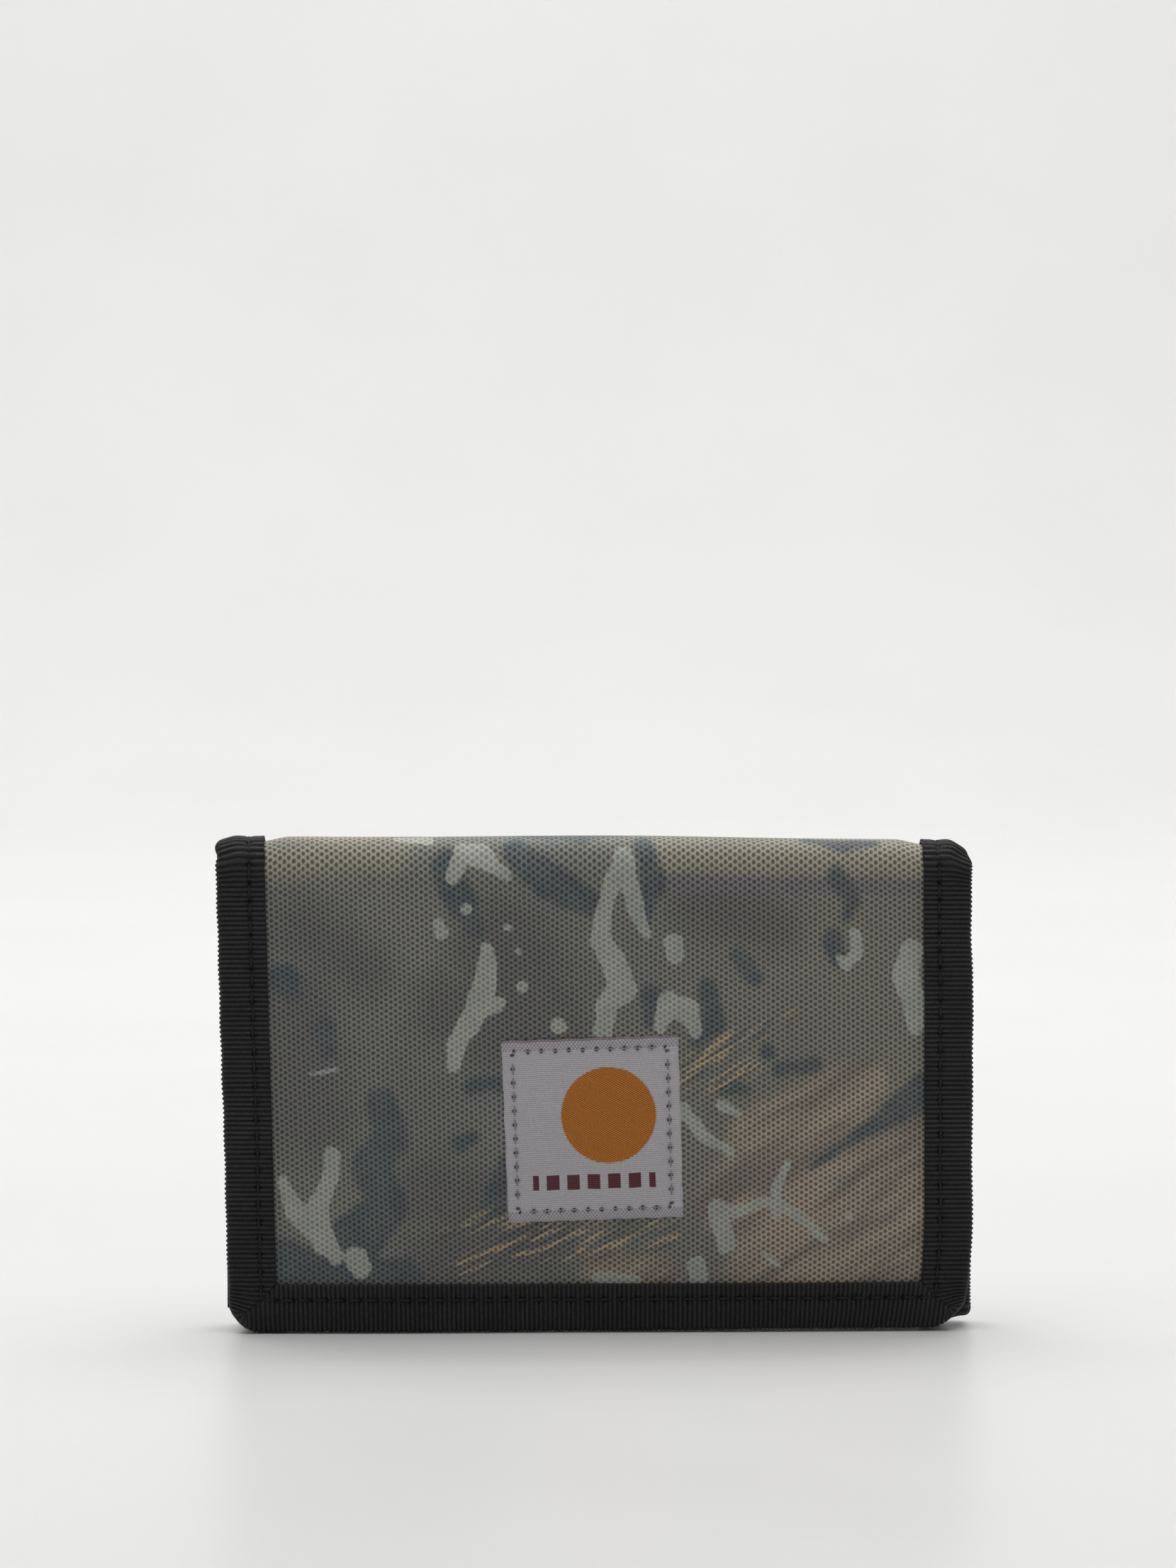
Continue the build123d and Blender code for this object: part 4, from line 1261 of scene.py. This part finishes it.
def make_patches():
    """Hook patch inside the flap and loop patch on the coin panel."""
    ring = np.linspace(0, 2 * math.pi, 5)[:-1]
    box = x0, x1, _, front, z0, z1 = node_box("hook_patch")
    pile = panel((x0, x1, front - 0.5, front, z0, z1), 1.2)
    x, z = np.meshgrid(np.arange(x0 + 1.6, x1 - 1.4, 1.15), np.arange(z0 + 1.6, z1 - 1.4, 1.05))
    x = x + rng.normal(0, 0.08, x.shape)
    t = np.linspace(0, 1, 8)
    tall, bent = 0.85, 0.55
    hook = np.stack([0 * t, tall * np.sin(t * math.pi * 0.62), bent * (1 - np.cos(t * math.pi * 0.9)) / 2], -1)
    foot = np.stack([x.ravel(), np.full(x.size, DEPTH / 2 - (front - 0.5)), z.ravel()], -1)
    section = np.stack([np.cos(ring), np.sin(ring) * 0.5, np.sin(ring)], -1) * 0.11
    add_bristles(pile, foot[:, None] + hook[None], section)
    flat_seam(pile, rim(box, 0.9), front - 0.52, 2)
    pile.points = [drape_with_flap(p) for p in pile.points]
    piece = pile.build("hook_patch_pile", [HOOK_BASE, NYLON, BLACK_THREAD])
    settle(piece, body="flap", nodes=["hook_patch"])

    box = x0, x1, rear, front, z0, z1 = node_box("loop_patch")
    pile = panel((x0, x1, rear, rear + 0.55, z0, z1), 1.2)
    count = 2600
    x = rng.uniform(x0 + 1.4, x1 - 1.4, count)[:, None]
    z = rng.uniform(z0 + 1.4, z1 - 1.4, count)[:, None]
    size = rng.uniform(0.35, 0.75, count)[:, None]
    heading = rng.uniform(0, math.pi, count)[:, None]
    t = np.linspace(0, math.pi, 7)[None]
    out = size * np.cos(t)
    depth = rear + 0.5 + (front - rear - 0.55) * np.sin(t) * (0.6 + 0.5 * size)
    core = np.stack([x + out * np.cos(heading), DEPTH / 2 - depth, z + out * np.sin(heading)], -1)
    section = np.stack([np.cos(ring) * 0.7, np.sin(ring), np.cos(ring + 1)], -1) * 0.05
    add_bristles(pile, core, section)
    flat_seam(pile, rim(box, 0.9), rear + 0.57, 2)
    piece = pile.build("loop_patch_pile", [LOOP_BASE, BLACK_THREAD, BLACK_THREAD])
    settle(piece, body="coin_panel", nodes=["loop_patch"])


def drape_with_flap(points):
    """Moves points inside the flap by as much as the fabric in front of them is swollen."""
    on_front = points.copy()
    on_front[..., 1] = DEPTH / 2 - FLAP_MIDDLE
    return points + drape(on_front) - on_front


def make_label():
    """The woven label, with folded hems and a running stitch round it."""
    u, v = np.meshgrid(np.linspace(-LABEL_HALF_X, LABEL_HALF_X, 130),
                       np.linspace(-LABEL_HALF_Z, LABEL_HALF_Z, 132))
    from_side = LABEL_HALF_X - np.abs(u)
    from_hem = LABEL_HALF_Z - np.abs(v)
    edge = np.minimum(from_side, from_hem)
    seam_in, pitch = 1.9, 2.4
    seam_band = np.exp(-((edge - seam_in) / 0.5) ** 2)
    puckered = np.where(from_side < from_hem, v, u)
    hole = np.abs((puckered / pitch) % 1 - 0.5) * pitch
    lift = 0.30 * smooth(edge / 0.35) + 0.10 * smooth((2.6 - from_hem) / 0.6)
    pierced = seam_band * np.exp(-(hole / 0.34) ** 2)
    lift = lift - 0.07 * seam_band - 0.34 * pierced
    lift = lift + 0.05 * np.sin(2 * math.pi * puckered / pitch) * smooth((2.6 - edge) / 1.5)
    lift = lift + 0.10 * ripple(u, v, 61, 16)
    cos, sin = math.cos(LABEL_TURN), math.sin(LABEL_TURN)
    wavy = 1 + 0.004 * np.sin(u * 1.3) + 0.003 * np.sin(v * 0.9)

    def on_flap(a, b, raised):
        x = LABEL_X + a * cos - b * sin
        z = LABEL_Z + a * sin + b * cos
        s = S_FLAP_END - (z - FLAP_BOTTOM)
        return drape(upper.place(x, s, shell_level(upper, s) + raised))

    pile = Pile()
    pile.grid(on_flap(u * wavy, v * wavy, lift + 0.06), np.stack([u, v, pierced], -1))
    inset_x, inset_z = LABEL_HALF_X - seam_in, LABEL_HALF_Z - seam_in
    for ax, az, bx, bz in ((-1, -1, 1, -1), (1, -1, 1, 1), (1, 1, -1, 1), (-1, 1, -1, -1)):
        # from hole to hole, each at a whole number of pitches from the middle of the side
        inset = inset_x if az == bz else inset_z
        count = 2 * int(inset / pitch)
        middles = (np.arange(count) + 0.5 - count / 2) * pitch / inset
        half = 0.95 / inset
        ends = []
        for t in (middles - half, middles + half):
            a = inset_x * (ax + (bx - ax) * (t + 1) / 2)
            b = inset_z * (az + (bz - az) * (t + 1) / 2)
            ends.append(on_flap(a, b, 0.33))
        normals = np.tile((0.0, -1.0, 0.0), (count, 1))
        thread(pile, ends[0], ends[1], normals, 0.26, 1)
    piece = pile.build("label_patch", [SATIN, GREY_THREAD])
    settle(piece, body="flap", nodes=["woven_label"],
           flat=(2 * LABEL_HALF_X, 2 * LABEL_HALF_Z))


# ======================================================================= stage
def area_light(name, place, aim, size, power):
    light = bpy.data.lights.new(name, "AREA")
    light.shape = "RECTANGLE"
    light.size, light.size_y = size
    light.energy = power
    lamp = bpy.data.objects.new(name, light)
    lamp.location = place
    lamp.rotation_euler = (Vector(aim) - Vector(place)).to_track_quat("-Z", "Y").to_euler()
    bpy.context.scene.collection.objects.link(lamp)


def make_camera():
    """A camera in front of the wallet, a little above it, looking slightly down and to one side."""
    camera = bpy.data.cameras.new("camera")
    camera.sensor_fit = "VERTICAL"
    camera.sensor_height = 36.0
    distance, height, aside = 0.95, 0.150, -0.0011
    pitch, yaw = math.radians(3.33), math.radians(1.6)
    seen_height = 0.270      # what the picture's height takes in at the wallet's middle
    camera.lens = camera.sensor_height * (distance + DEPTH / 2 * MM) / seen_height
    camera.clip_start = 0.01
    eye = bpy.data.objects.new("camera", camera)
    eye.location = (aside - distance * math.sin(yaw), -distance * math.cos(yaw) - DEPTH / 2 * MM, height)
    eye.rotation_euler = (math.pi / 2 - pitch, 0, -yaw)
    bpy.context.scene.collection.objects.link(eye)
    bpy.context.scene.camera = eye


def make_stage():
    """A pale table top that sweeps up into a backdrop, with soft lights above and behind."""
    near, rise_from, radius, top = -2.2, 1.3, 0.7, 3.2
    profile = [(near, 0.0)]
    for angle in np.linspace(0, math.pi / 2, 24):
        profile.append((rise_from + radius * math.sin(angle), radius - radius * math.cos(angle)))
    profile.append((rise_from + radius, top))
    points = np.array([[(x, y, z) for x in np.linspace(-3.0, 3.0, 7)] for y, z in profile]) / MM
    mesh = add_mesh("table_top", points.reshape(-1, 3), grid_faces(len(profile), 7), [stage_paint()])
    area_light("overhead", (0.0, 0.15, 1.6), (0, 0.05, 0), (2.0, 2.2), 20.7)
    area_light("ceiling", (0.0, 0.75, 1.8), (0, 0.75, 0), (2.4, 2.4), 12.0)
    area_light("front_fill", (-0.5, -1.6, 0.9), (0, 0, 0.04), (1.2, 0.9), 0.1)
    area_light("backdrop_wash", (0.0, 0.7, 1.9), (0, 1.9, 0.9), (2.2, 0.6), 9.0)
    world = bpy.data.worlds.new("studio")
    world.use_nodes = True
    background = world.node_tree.nodes["Background"]
    background.inputs["Color"].default_value = (1.0, 1.0, 1.0, 1.0)
    background.inputs["Strength"].default_value = 0.20
    bpy.context.scene.world = world
    bpy.context.scene.view_settings.view_transform = "Standard"


make_camera()
make_stage()
make_fabric()
make_tapes()
make_pockets()
make_zip()
make_patches()
make_label()
